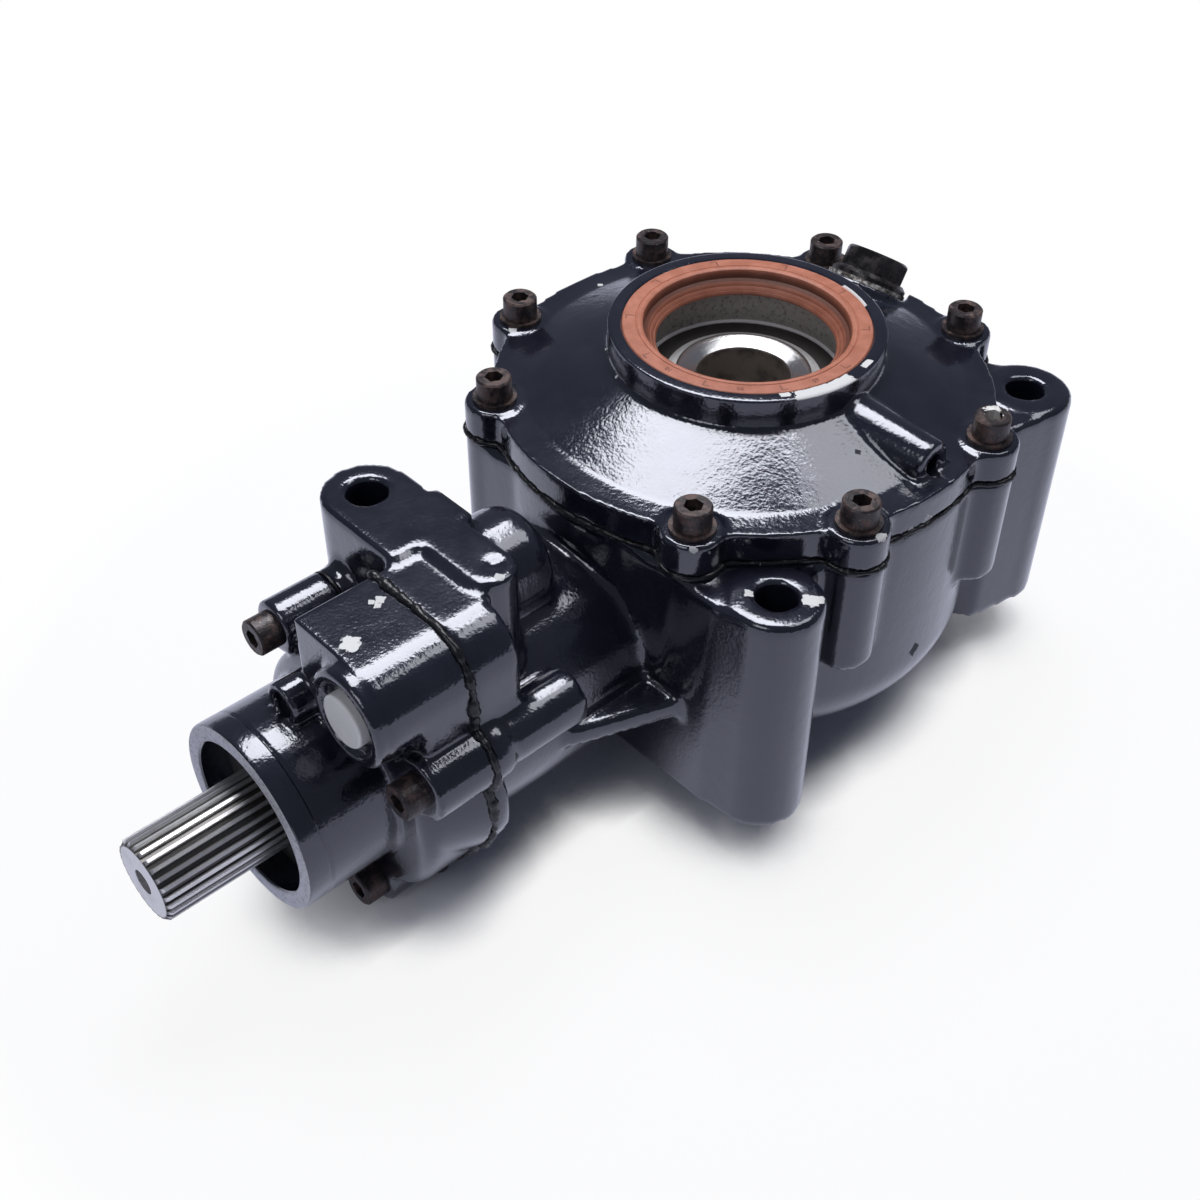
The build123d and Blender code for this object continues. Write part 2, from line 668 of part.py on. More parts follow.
# Nose cap
with BuildPart() as nose_cap:
    # Body with a rounded front edge, and the lobes that widen towards the joint
    with BuildPart(mode=Mode.PRIVATE) as cap_body:
        with BuildSketch(Plane.XZ.offset(cap_near)):
            with Locations((cap_body_x, cap_body_z)):
                Circle(cap_body_r)
        extrude(amount=cap_body_far - cap_near)
        fillet(cap_body.faces().sort_by(Axis.Y)[0].edges(), cap_body_round)
    add(cap_body.part)
    add(joint_lobe(lobe_x, lobe_z, lobe_r))
    add(joint_lobe(low_lobe_x, low_lobe_z, low_lobe_r))
    # Screw bosses, and the boss over the selector rod
    with BuildSketch(Plane.XZ.offset(cap_near)):
        with Locations(*nose_bolts):
            Circle(nose_boss_r)
        with Locations(nose_bolts[1]):
            Circle(right_boss_r)
        with Locations((0, rod_z)):
            Circle(rod_boss_r)
    extrude(amount=nose_seat - cap_near)
    # Bump, cut square on the left, with the plug's boss on the right
    with BuildSketch(Plane.XZ.offset(cap_near)):
        add(bump_outline())
    extrude(amount=lobe_far - cap_near)
    with BuildSketch(Plane.XZ.offset(cap_near)):
        with Locations((bump_x, bump_z)):
            Circle(bump_r)
        with BuildLine():
            Polyline((bump_left_x, 28), (bump_x - 8, 28), (bump_x, bump_z),
                     (bump_x, bump_z + bump_r), (bump_left_x, bump_z + bump_r), close=True)
        make_face()
    extrude(amount=bump_far - cap_near)
    with BuildPart(mode=Mode.PRIVATE) as plug_boss:
        with BuildSketch(Plane.XZ.offset(cap_near)):
            with Locations((bump_x, bump_z)):
                Circle(plug_boss_r)
        extrude(amount=plug_boss_far - cap_near)
        fillet(plug_boss.faces().sort_by(Axis.Y)[0].edges(), plug_boss_round)
    add(plug_boss.part)
    # Collar for the input seal, with a groove behind its front rim
    with BuildSketch(Plane.XZ.offset(cap_near)):
        Circle(collar_r)
    extrude(amount=collar_far - cap_near)
    with BuildSketch(Plane.XZ.offset(collar_groove_near)):
        Circle(collar_r + 1)
        Circle(collar_r - 0.5, mode=Mode.SUBTRACT)
    extrude(amount=0.9, mode=Mode.SUBTRACT)
    # Guide of the selector rod, above the collar
    with BuildSketch(Plane.XZ.offset(cap_near)):
        with Locations((0, rod_z)):
            Circle(stub_r)
    extrude(amount=stub_far - cap_near)
    # Hollow
    with BuildSketch(Plane.XZ.offset(cap_near - 1)):
        Circle(neck_cavity_r)
        with Locations((0, rod_z)):
            Circle(rod_room_r)
    extrude(amount=input_bearing_near - 2 - cap_near + 1, mode=Mode.SUBTRACT)
    with BuildSketch(Plane.XZ.offset(cap_near)):
        Circle(shaft_bearing_outer_r + press_gap)
    extrude(amount=input_bearing_near + shaft_bearing_width - cap_near, mode=Mode.SUBTRACT)
    with BuildSketch(Plane.XZ.offset(cap_near)):
        Circle(input_shoulder_r)
    extrude(amount=60, mode=Mode.SUBTRACT)
    with BuildSketch(Plane.XZ.offset(input_seal_near)):
        Circle(collar_bore_r)
    extrude(amount=60, mode=Mode.SUBTRACT)
    with BuildSketch(Plane.XZ.offset(cap_near)):
        with Locations((0, rod_z)):
            Circle(rod_r + running_gap)
    extrude(amount=60, mode=Mode.SUBTRACT)
    # Recess and hole of the plug
    with BuildSketch(Plane.XZ.offset(plug_boss_far - plug_recess_depth)):
        with Locations((bump_x, bump_z)):
            Circle(plug_recess_r)
    extrude(amount=plug_recess_depth + 1, mode=Mode.SUBTRACT)
    with BuildSketch(Plane.XZ.offset(plug_boss_far - plug_length)):
        with Locations((bump_x, bump_z)):
            Circle(plug_r + press_gap)
    extrude(amount=plug_length + 1, mode=Mode.SUBTRACT)
    # Screw holes, and room in front of their seats
    with BuildSketch(Plane.XZ.offset(cap_near - 1)):
        with Locations(*nose_bolts):
            Circle(screw_r + bolt_gap)
    extrude(amount=60, mode=Mode.SUBTRACT)
    with BuildSketch(Plane.XZ.offset(nose_seat)):
        with Locations(*nose_bolts):
            Circle(screw_head_r + 1.2)
    extrude(amount=30, mode=Mode.SUBTRACT)
nose_cap.part.label = "nose_cap"
export_step(nose_cap.part, "parts/nose_cap.step")

with BuildPart() as nose_plug:
    with BuildSketch(Plane.XZ.offset(plug_boss_far - plug_length)):
        with Locations((bump_x, bump_z)):
            Circle(plug_r)
    extrude(amount=plug_length + plug_proud)
    fillet(nose_plug.faces().sort_by(Axis.Y)[0].edges(), 1.0)
nose_plug.part.label = "nose_plug"
export_step(nose_plug.part, "parts/nose_plug.step")

# Screws and washers
screw = socket_screw(cover_screw_length)
washer = plain_washer(screw_r + bolt_gap, washer_r, washer_thickness)
with BuildPart() as cover_screws:
    with Locations(*[(x, y, cover_pad_z + washer_thickness) for x, y in cover_bolts_at]):
        add(screw)
cover_screws.part.label = "cover_screws"
export_step(cover_screws.part, "parts/cover_screws.step")

with BuildPart() as cover_washers:
    with Locations(*[(x, y, cover_pad_z) for x, y in cover_bolts_at]):
        add(washer)
cover_washers.part.label = "cover_washers"
export_step(cover_washers.part, "parts/cover_washers.step")

nose_screw = socket_screw(nose_screw_length)
with BuildPart() as nose_screws:
    for x, z in nose_bolts:
        with Locations(Plane(origin=(x, -nose_seat, z), x_dir=(1, 0, 0), z_dir=(0, -1, 0))):
            add(nose_screw)
nose_screws.part.label = "nose_screws"
export_step(nose_screws.part, "parts/nose_screws.step")

# Fill and drain plugs with their washers
with BuildPart() as fill_plug:
    with Locations(fill_plane.offset(plug_washer_thickness)):
        add(hex_plug(fill_hex, fill_flange_r, fill_thread_r, 10.0))
fill_plug.part.label = "fill_plug"
export_step(fill_plug.part, "parts/fill_plug.step")

with BuildPart() as fill_washer:
    with Locations(fill_plane):
        add(plain_washer(fill_thread_r + bolt_gap, fill_flange_r + 0.5, plug_washer_thickness))
fill_washer.part.label = "fill_washer"
export_step(fill_washer.part, "parts/fill_washer.step")

with BuildPart() as drain_plug:
    with Locations(drain_plane.offset(plug_washer_thickness)):
        add(hex_plug(drain_hex, drain_flange_r, drain_thread_r, 14.0))
drain_plug.part.label = "drain_plug"
export_step(drain_plug.part, "parts/drain_plug.step")

with BuildPart() as drain_washer:
    with Locations(drain_plane):
        add(plain_washer(drain_thread_r + bolt_gap, drain_flange_r + 0.5, plug_washer_thickness))
drain_washer.part.label = "drain_washer"
export_step(drain_washer.part, "parts/drain_washer.step")


def bevel_gear(teeth, mate, module, face, shift, phase, body):
    """A straight bevel gear with its apex at the origin, opening towards +Z."""
    pitch_r = module * teeth / 2
    cone = atan2(teeth, mate)
    reach = pitch_r / sin(cone)
    toe_scale = (reach - face) / reach
    virtual_r = pitch_r / cos(cone)
    base_r = virtual_r * cos(radians(20))
    addendum = (0.95 + shift) * module
    dedendum = (1.2 - shift) * module
    width = (tooth_share * pi + 2 * shift * tan(radians(20))) * module
    flank = []
    for height in (-dedendum - 0.5, -dedendum * 0.3, addendum * 0.4, addendum):
        radius = virtual_r + height
        slope = acos(min(1.0, base_r / radius))
        angle = width / 2 / virtual_r + (tan(radians(20)) - radians(20)) - (tan(slope) - slope)
        flank.append((radius * sin(angle), radius * cos(angle) - virtual_r))
    outline = [(x, -n) for x, n in flank] + [(-x, -n) for x, n in reversed(flank)]
    along = Vector(sin(cone), 0, cos(cone))
    with BuildPart() as tooth:
        with BuildSketch(Plane(origin=along * reach, x_dir=(0, 1, 0), z_dir=along)):
            with BuildLine():
                Polyline(*outline, close=True)
            make_face()
        with BuildSketch(Plane(origin=along * (reach - face), x_dir=(0, 1, 0), z_dir=along)):
            with BuildLine():
                Polyline(*[(x * toe_scale, y * toe_scale) for x, y in outline], close=True)
            make_face()
        loft(ruled=True)
    root_r = pitch_r - dedendum * cos(cone)
    root_z = reach * cos(cone) + dedendum * sin(cone)
    with BuildPart() as gear:
        with BuildSketch(Plane.XZ):
            with BuildLine():
                Polyline(*body(root_r, root_z, toe_scale), close=True)
            make_face()
        revolve(axis=Axis.Z)
        with PolarLocations(0, teeth, start_angle=phase):
            add(tooth.part)
    return gear.part


# Ring gear, with tapped holes in its back
ring = bevel_gear(
    ring_teeth, pinion_teeth, gear_module, gear_face, -gear_shift, -90 + 180 / ring_teeth,
    lambda r, z, s: [(ring_bore_r + press_gap, z * s), (r * s, z * s), (r, z), (r - 2.0, ring_back_z),
                     (ring_bore_r + press_gap, ring_back_z)])
with BuildPart() as ring_gear:
    add(ring)
    with BuildSketch(Plane.XY.offset(ring_back_z)):
        with PolarLocations(carrier_bolt_circle_r, carrier_bolt_count):
            Circle(carrier_bolt_r + bolt_gap)
    extrude(amount=-9.0, mode=Mode.SUBTRACT)
ring_gear.part.label = "ring_gear"
export_step(ring_gear.part, "parts/ring_gear.step")

# Bevel pinion with its shaft
pinion_plane = Plane(origin=(0, 0, 0), x_dir=(0, 0, 1), z_dir=(0, -1, 0))
pinion = bevel_gear(
    pinion_teeth, ring_teeth, gear_module, gear_face, gear_shift, 0,
    lambda r, z, s: [(0, z * s), (r * s, z * s), (r, z), (pinion_shoulder_r, pinion_back),
                     (pinion_shoulder_r, head_bearing_near), (shaft_r, head_bearing_near),
                     (shaft_r, hub_near), (hub_seat_r, hub_near), (hub_seat_r, clutch_near),
                     (0, clutch_near)])
with BuildPart() as bevel_pinion:
    with Locations(pinion_plane):
        add(pinion)
    with BuildSketch(Plane.XZ.offset(clutch_near)):
        Circle(spigot_r + running_gap)
    extrude(amount=-spigot_length - 1.0, mode=Mode.SUBTRACT)
bevel_pinion.part.label = "bevel_pinion"
export_step(bevel_pinion.part, "parts/bevel_pinion.step")

# Side gears and the two gears on the cross pin
side = bevel_gear(
    side_teeth, spider_teeth, side_module, side_face, -side_shift, 180 / side_teeth,
    lambda r, z, s: [(0, z * s), (r * s, z * s), (r, z), (r + 0.5, carrier_well_half - washer_gap),
                     (side_hub_r, carrier_well_half - washer_gap),
                     (side_hub_r, carrier_well_half + side_hub_length),
                     (0, carrier_well_half + side_hub_length)])
for name, direction in (("side_gear_upper", 1), ("side_gear_lower", -1)):
    with BuildPart() as side_gear:
        with Locations(Plane(origin=(0, 0, diff_centre_z), x_dir=(1, 0, 0), z_dir=(0, 0, direction))):
            add(side)
        with BuildSketch(Plane.XY.offset(diff_centre_z)):
            Circle(axle_r)
            with PolarLocations(axle_r, 8):
                Rectangle(2.4, 3.0, mode=Mode.SUBTRACT)
        extrude(amount=60 * direction, mode=Mode.SUBTRACT)
    side_gear.part.label = name
    export_step(side_gear.part, "parts/" + name + ".step")

spider = bevel_gear(
    spider_teeth, side_teeth, side_module, side_face, side_shift, 0,
    lambda r, z, s: [(0, z * s), (r * s, z * s), (r, z), (r, spider_back), (0, spider_back)])
with BuildPart() as spider_gear_left:
    with Locations(Plane(origin=(0, 0, diff_centre_z), x_dir=(0, 0, 1), z_dir=(-1, 0, 0))):
        add(spider)
    with BuildSketch(Plane.YZ):
        with Locations((0, diff_centre_z)):
            Circle(cross_pin_r + running_gap)
    extrude(amount=-carrier_barrel_r, mode=Mode.SUBTRACT)
spider_gear_left.part.label = "spider_gear_left"
export_step(spider_gear_left.part, "parts/spider_gear_left.step")

with BuildPart() as spider_gear_right:
    mirror(spider_gear_left.part, about=Plane.YZ)
spider_gear_right.part.label = "spider_gear_right"
export_step(spider_gear_right.part, "parts/spider_gear_right.step")

# Differential case in two parts, split at the ring gear's flange
wall_r = side_bearing_inner_r + 8.0
with BuildPart() as carrier:
    with BuildSketch(Plane.XZ):
        with BuildLine():
            Polyline(
                (0, hub_low_z), (side_bearing_inner_r, hub_low_z),
                (side_bearing_inner_r, lower_bearing_top_z), (wall_r, lower_bearing_top_z),
                (wall_r, lower_bearing_top_z + 2.5), (carrier_barrel_r, lower_bearing_top_z + 8),
                (carrier_barrel_r, ring_back_z - 7), (ring_bore_r, ring_back_z - 7),
                (ring_bore_r, ring_back_z), (carrier_flange_r, ring_back_z),
                (carrier_flange_r, flange_top_z), (0, flange_top_z), close=True)
        make_face()
    revolve(axis=Axis.Z)
    with Locations((0, 0, diff_centre_z)):
        Cylinder(carrier_well_r, 2 * carrier_well_half, mode=Mode.SUBTRACT)
        Cylinder(spider_room_r, 2 * spider_room_half, rotation=(0, 90, 0), mode=Mode.SUBTRACT)
        Cylinder(spider_seat_r, 2 * spider_back + 1.0, rotation=(0, 90, 0), mode=Mode.SUBTRACT)
    with BuildSketch(Plane.XY.offset(diff_centre_z - carrier_well_half)):
        Circle(side_hub_r + running_gap)
    extrude(amount=-side_hub_length - 0.5, mode=Mode.SUBTRACT)
    with BuildSketch(Plane.XY.offset(hub_low_z)):
        Circle(hub_bore_r)
    extrude(amount=60, mode=Mode.SUBTRACT)
    with BuildSketch(Plane.YZ.offset(-60)):
        with Locations((0, diff_centre_z)):
            Circle(cross_pin_r + press_gap)
    extrude(amount=120, mode=Mode.SUBTRACT)
    with BuildSketch(Plane.XY.offset(flange_top_z)):
        with PolarLocations(carrier_bolt_circle_r, carrier_bolt_count):
            Circle(carrier_bolt_r + bolt_gap)
    extrude(amount=-20, mode=Mode.SUBTRACT)
    # Windows through which the gears are fitted and oiled
    with BuildSketch(Plane.XZ.offset(-60)):
        with Locations((0, diff_centre_z - 2)):
            SlotOverall(38.0, 22.0)
    extrude(amount=120, mode=Mode.SUBTRACT)
carrier.part.label = "carrier"
export_step(carrier.part, "parts/carrier.step")

with BuildPart() as carrier_cap:
    with BuildSketch(Plane.XZ):
        with BuildLine():
            Polyline(
                (0, flange_top_z), (carrier_flange_r, flange_top_z), (carrier_flange_r, cap_top_z),
                (carrier_cap_neck_r, cap_top_z), (wall_r, upper_bearing_low_z - 2.5),
                (wall_r, upper_bearing_low_z), (side_bearing_inner_r, upper_bearing_low_z),
                (side_bearing_inner_r, hub_top_z), (0, hub_top_z), close=True)
        make_face()
    revolve(axis=Axis.Z)
    with Locations((0, 0, diff_centre_z)):
        Cylinder(carrier_well_r, 2 * carrier_well_half, mode=Mode.SUBTRACT)
    with BuildSketch(Plane.XY.offset(diff_centre_z + carrier_well_half)):
        Circle(side_hub_r + running_gap)
    extrude(amount=side_hub_length + 0.5, mode=Mode.SUBTRACT)
    with BuildSketch(Plane.XY.offset(hub_top_z)):
        Circle(hub_bore_r)
    extrude(amount=-60, mode=Mode.SUBTRACT)
    with BuildSketch(Plane.XY.offset(cap_top_z)):
        with PolarLocations(carrier_bolt_circle_r, carrier_bolt_count):
            Circle(carrier_bolt_r + bolt_gap)
    extrude(amount=-20, mode=Mode.SUBTRACT)
carrier_cap.part.label = "carrier_cap"
export_step(carrier_cap.part, "parts/carrier_cap.step")

with BuildPart() as carrier_bolts:
    with BuildSketch(Plane.XY.offset(cap_top_z)):
        with PolarLocations(carrier_bolt_circle_r, carrier_bolt_count):
            RegularPolygon(carrier_bolt_hex / 2, 6, major_radius=False)
    extrude(amount=carrier_bolt_head)
    with BuildSketch(Plane.XY.offset(cap_top_z)):
        with PolarLocations(carrier_bolt_circle_r, carrier_bolt_count):
            Circle(carrier_bolt_r)
    extrude(amount=-(cap_top_z - ring_back_z) - 8.0)
carrier_bolts.part.label = "carrier_bolts"
export_step(carrier_bolts.part, "parts/carrier_bolts.step")

with BuildPart() as cross_pin:
    with BuildSketch(Plane.YZ.offset(-carrier_barrel_r + 0.5)):
        with Locations((0, diff_centre_z)):
            Circle(cross_pin_r)
    extrude(amount=2 * carrier_barrel_r - 1.0)
cross_pin.part.label = "cross_pin"
export_step(cross_pin.part, "parts/cross_pin.step")

# Thrust washers behind the side gears
for name, direction in (("thrust_washer_upper", 1), ("thrust_washer_lower", -1)):
    with BuildPart() as thrust_washer:
        with BuildSketch(Plane.XY.offset(diff_centre_z + direction * carrier_well_half)):
            Circle(carrier_well_r - 1.0)
            Circle(side_hub_r + 0.4, mode=Mode.SUBTRACT)
        extrude(amount=-direction * thrust_washer_thickness)
    thrust_washer.part.label = name
    export_step(thrust_washer.part, "parts/" + name + ".step")


def roller_set(pitch_r, roller_r, length, count):
    """A ring of rollers about +Z, centred on the origin."""
    with BuildPart() as rollers:
        with PolarLocations(pitch_r, count):
            Cylinder(roller_r, length)
    return rollers.part


def race(inner, outer, width):
    """A plain bearing race about +Z, centred on the origin."""
    with BuildPart() as ring_part:
        with BuildSketch(Plane.XY.offset(-width / 2)):
            Circle(outer)
            Circle(inner, mode=Mode.SUBTRACT)
        extrude(amount=width)
    return ring_part.part


# Bearings: outer race, inner race and rollers of each
side_outer_track = side_bearing_outer_r - side_race_wall
side_inner_track = side_bearing_inner_r + side_race_wall
line_outer_track = shaft_bearing_outer_r - shaft_race_wall
line_inner_track = shaft_r + shaft_race_wall
side_middle_r = (side_outer_track + side_inner_track) / 2
line_middle_r = (line_outer_track + line_inner_track) / 2
bearings = []
for name, low in (("upper", upper_bearing_low_z), ("lower", lower_bearing_low_z)):
    bearings.append((name, Plane.XY.offset(low + side_bearing_width / 2),
                     race(side_outer_track, side_bearing_outer_r, side_bearing_width),
                     race(side_bearing_inner_r + press_gap, side_inner_track, side_bearing_width),
                     roller_set(side_middle_r, side_roller_r, side_bearing_width - 5, 12)))
for name, near in (("head", head_bearing_near), ("tail", tail_bearing_near),
                   ("input", input_bearing_near)):
    bearings.append((name, Plane.XZ.offset(near + shaft_bearing_width / 2),
                     race(line_outer_track, shaft_bearing_outer_r, shaft_bearing_width),
                     race(shaft_r + press_gap, line_inner_track, shaft_bearing_width),
                     roller_set(line_middle_r, line_roller_r, shaft_bearing_width - 5, 9)))
for name, plane, outer_race, inner_race, rollers in bearings:
    for piece, solid in (("outer_race", outer_race), ("inner_race", inner_race),
                         ("rollers", rollers)):
        with BuildPart() as bearing_piece:
            with Locations(plane):
                add(solid)
        bearing_piece.part.label = name + "_" + piece
        export_step(bearing_piece.part, "parts/" + name + "_" + piece + ".step")

# Shield over the upper bearing, seen through the axle seal
with BuildPart() as upper_shield:
    with BuildSketch(Plane.XY.offset(upper_bearing_top_z - 1.0)):
        Circle(side_outer_track)
        Circle(side_inner_track + 0.3, mode=Mode.SUBTRACT)
    extrude(amount=0.7)
upper_shield.part.label = "upper_shield"
export_step(upper_shield.part, "parts/upper_shield.step")


def lip_seal(outer, lip, width):
    """A lip seal whose outer face lies on z = 0, with a stepped, conical lip below it."""
    section = [
        (outer, 0), (outer, -width), (outer - 1.4, -width), (outer - 1.4, -2.6), (lip + 3.4, -2.6),
        (lip + 3.4, -width + 2), (lip, -width + 2), (lip, -width + 3.2), (lip + 2.2, -1.6),
        (lip + 4.2, -1.2), (lip + 4.8, 0)]
    return turned_about_axle(section)


axle_seal = lip_seal(seal_outer_r, seal_lip_r, seal_width - 0.2)
for name, face_z, direction in (("upper_axle_seal", cover_top_z - 0.2, 1),
                                ("lower_axle_seal", lower_collar_z + 0.2, -1)):
    with BuildPart() as seal:
        with Locations(Plane(origin=(0, 0, face_z), x_dir=(1, 0, 0), z_dir=(0, 0, direction))):
            add(axle_seal)
    seal.part.label = name
    export_step(seal.part, "parts/" + name + ".step")

with BuildPart() as input_seal:
    with Locations(Plane(origin=(0, -input_seal_near - input_seal_width, 0), x_dir=(1, 0, 0),
                         z_dir=(0, -1, 0))):
        add(lip_seal(collar_bore_r - press_gap, shaft_r + running_gap, input_seal_width))
input_seal.part.label = "input_seal"
export_step(input_seal.part, "parts/input_seal.step")

# Input line between the two bearings of the pinion, and beyond
with BuildPart() as pinion_spacer:
    with BuildSketch(Plane.XZ.offset(head_bearing_near + shaft_bearing_width)):
        Circle(line_inner_track)
        Circle(shaft_r + press_gap, mode=Mode.SUBTRACT)
    extrude(amount=pinion_spacer_length)
pinion_spacer.part.label = "pinion_spacer"
export_step(pinion_spacer.part, "parts/pinion_spacer.step")

with BuildPart() as lock_nut:
    with BuildSketch(Plane.XZ.offset(tail_bearing_near + shaft_bearing_width)):
        Circle(lock_nut_r)
        Circle(shaft_r + press_gap, mode=Mode.SUBTRACT)
        with PolarLocations(lock_nut_r, 4):
            Rectangle(4.0, 5.0, mode=Mode.SUBTRACT)
    extrude(amount=lock_nut_width)
lock_nut.part.label = "lock_nut"
export_step(lock_nut.part, "parts/lock_nut.step")


def dogs(near, length, phase):
    """Six dogs round the pinion axis, from the given distance outwards."""
    half_gap = clutch_r * tan(radians(dog_gap_angle / 2))
    with BuildSketch() as gap:
        with BuildLine():
            Polyline((0, 0), (clutch_r, -half_gap), (clutch_r, half_gap), close=True)
        make_face()
    with BuildPart() as dog_ring:
        with BuildSketch(Plane.XZ.offset(near)):
            Circle(dog_outer_r)
            Circle(dog_inner_r, mode=Mode.SUBTRACT)
            with PolarLocations(0, 6, start_angle=phase):
                add(gap.sketch, mode=Mode.SUBTRACT)
        extrude(amount=length)
    return dog_ring.part


with BuildPart() as dog_hub:
    with BuildSketch(Plane.XZ.offset(hub_near)):
        Circle(dog_outer_r)
        Circle(hub_seat_r + press_gap, mode=Mode.SUBTRACT)
    extrude(amount=dog_hub_width)
    add(dogs(clutch_near, dog_length, 0))
dog_hub.part.label = "dog_hub"
export_step(dog_hub.part, "parts/dog_hub.step")

# Input shaft with clutch splines inside and the long spline outside
with BuildSketch() as spline_tooth:
    with BuildLine():
        Polyline((spline_minor_r - 0.5, -1.1), (spline_major_r, -0.55), (spline_major_r, 0.55),
                 (spline_minor_r - 0.5, 1.1), close=True)
    make_face()
with BuildPart() as input_shaft:
    add(turned_about_pinion([
        (0, clutch_near - spigot_length), (spigot_r, clutch_near - spigot_length),
        (spigot_r, hub_start), (clutch_bore_r, hub_start), (clutch_bore_r, input_bearing_near),
        (shaft_r, input_bearing_near), (shaft_r, spline_near), (spline_minor_r, spline_near + 1.5),
        (spline_minor_r, shaft_end), (0, shaft_end)]))
    with BuildSketch(Plane.XZ.offset(spline_near)):
        with PolarLocations(0, spline_teeth):
            add(spline_tooth.sketch)
    extrude(amount=spline_length)
    # Key splines for the clutch
    with BuildSketch(Plane.XZ.offset(hub_start)):
        with PolarLocations(clutch_bore_r, 6):
            Rectangle(3.0, 5.0)
    extrude(amount=clutch_near + clutch_length + clutch_travel - hub_start)
    # Chamfered end with a blind centre hole
    with BuildSketch(Plane.XY):
        with BuildLine():
            Polyline((spline_major_r - 1.2, -shaft_end - 0.01), (spline_major_r + 2, -shaft_end - 0.01),
                     (spline_major_r + 2, -shaft_end + 3.2), close=True)
        make_face()
    revolve(axis=Axis.Y, mode=Mode.SUBTRACT)
    with BuildSketch(Plane.XZ.offset(shaft_end)):
        Circle(shaft_centre_r)
    extrude(amount=-12, mode=Mode.SUBTRACT)
input_shaft.part.label = "input_shaft"
export_step(input_shaft.part, "parts/input_shaft.step")

with BuildPart() as dog_clutch:
    with BuildSketch(Plane.XZ.offset(clutch_near + dog_length + dog_end_gap)):
        Circle(clutch_r)
        Circle(clutch_bore_r + running_gap, mode=Mode.SUBTRACT)
        with PolarLocations(clutch_bore_r, 6):
            Rectangle(3.2, 5.4, mode=Mode.SUBTRACT)
    extrude(amount=clutch_length - dog_length - dog_end_gap)
    add(dogs(clutch_near + dog_end_gap, dog_length + 1, 30))
    with BuildSketch(Plane.XZ.offset(groove_near)):
        Circle(clutch_r + 1)
        Circle(groove_r, mode=Mode.SUBTRACT)
    extrude(amount=groove_width, mode=Mode.SUBTRACT)
dog_clutch.part.label = "dog_clutch"
export_step(dog_clutch.part, "parts/dog_clutch.step")

# Selector rod, fork and pin
with BuildPart() as selector_rod:
    with BuildSketch(Plane.XZ.offset(rod_near)):
        with Locations((0, rod_z)):
            Circle(rod_r)
    extrude(amount=rod_far - rod_near)
selector_rod.part.label = "selector_rod"
export_step(selector_rod.part, "parts/selector_rod.step")

with BuildPart() as selector_fork:
    with BuildSketch(Plane.XZ.offset(groove_near + 0.1)):
        with BuildLine():
            Polyline((-fork_outer_r, 0), (-fork_outer_r, 10), (-22, 22), (-5.5, fork_outer_r),
                     (-5, rod_z), (5, rod_z), (5.5, fork_outer_r), (22, 22), (fork_outer_r, 10),
                     (fork_outer_r, 0), close=True)
        make_face()
        Circle(groove_r + fork_gap, mode=Mode.SUBTRACT)
    extrude(amount=groove_width - 0.2)
    with BuildSketch(Plane.XZ.offset(groove_near - 3)):
        with Locations((0, rod_z)):
            Circle(rod_r + 3.5)
    extrude(amount=groove_width + 6)
    with BuildSketch(Plane.XZ.offset(groove_near - 5)):
        with Locations((0, rod_z)):
            Circle(rod_r + press_gap)
    extrude(amount=groove_width + 10, mode=Mode.SUBTRACT)
    with BuildSketch(Plane.XZ.offset(groove_near - 5)):
        Circle(clutch_r + 0.6)
        Circle(0.1, mode=Mode.SUBTRACT)
    extrude(amount=5.1, mode=Mode.SUBTRACT)
    with BuildSketch(Plane.XZ.offset(groove_near + groove_width - 0.1)):
        Circle(clutch_r + 0.6)
    extrude(amount=8, mode=Mode.SUBTRACT)
selector_fork.part.label = "selector_fork"
export_step(selector_fork.part, "parts/selector_fork.step")
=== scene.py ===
# %% [markdown]
# A rear differential in gloss black paint
#
# The object is a used axle drive: a cast case with a bolted side cover, a splined input
# shaft and a brown axle seal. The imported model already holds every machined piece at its
# place, so this lesson dresses it: cast corners, paint, rust, rubber, sealant and chips.
#
# The model is loaded first, as a frame that never moves. Everything else is measured from it.

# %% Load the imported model
import json
import math
import bpy
from mathutils import Matrix, Vector, noise


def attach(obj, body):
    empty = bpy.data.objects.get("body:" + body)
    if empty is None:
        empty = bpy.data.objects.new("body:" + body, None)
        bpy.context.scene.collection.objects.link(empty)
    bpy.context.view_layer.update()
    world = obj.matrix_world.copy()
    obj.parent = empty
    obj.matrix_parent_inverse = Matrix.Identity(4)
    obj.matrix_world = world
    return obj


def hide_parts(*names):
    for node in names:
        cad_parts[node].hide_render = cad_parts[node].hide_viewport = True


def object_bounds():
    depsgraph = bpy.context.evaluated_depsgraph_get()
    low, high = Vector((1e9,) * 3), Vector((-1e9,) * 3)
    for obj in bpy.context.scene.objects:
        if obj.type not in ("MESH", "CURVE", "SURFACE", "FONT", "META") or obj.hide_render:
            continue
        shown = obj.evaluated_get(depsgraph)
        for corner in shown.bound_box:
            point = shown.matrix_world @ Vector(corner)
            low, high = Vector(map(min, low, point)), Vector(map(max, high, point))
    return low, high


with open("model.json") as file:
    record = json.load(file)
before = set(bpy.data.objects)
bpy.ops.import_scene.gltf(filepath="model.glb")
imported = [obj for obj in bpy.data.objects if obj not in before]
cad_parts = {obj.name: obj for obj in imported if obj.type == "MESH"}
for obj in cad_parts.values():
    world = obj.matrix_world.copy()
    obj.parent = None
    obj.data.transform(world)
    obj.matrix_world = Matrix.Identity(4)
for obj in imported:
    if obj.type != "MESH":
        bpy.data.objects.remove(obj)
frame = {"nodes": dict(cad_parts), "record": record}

nodes = frame["nodes"]
mm = 0.001
cad_box = [list(corner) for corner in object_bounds()]
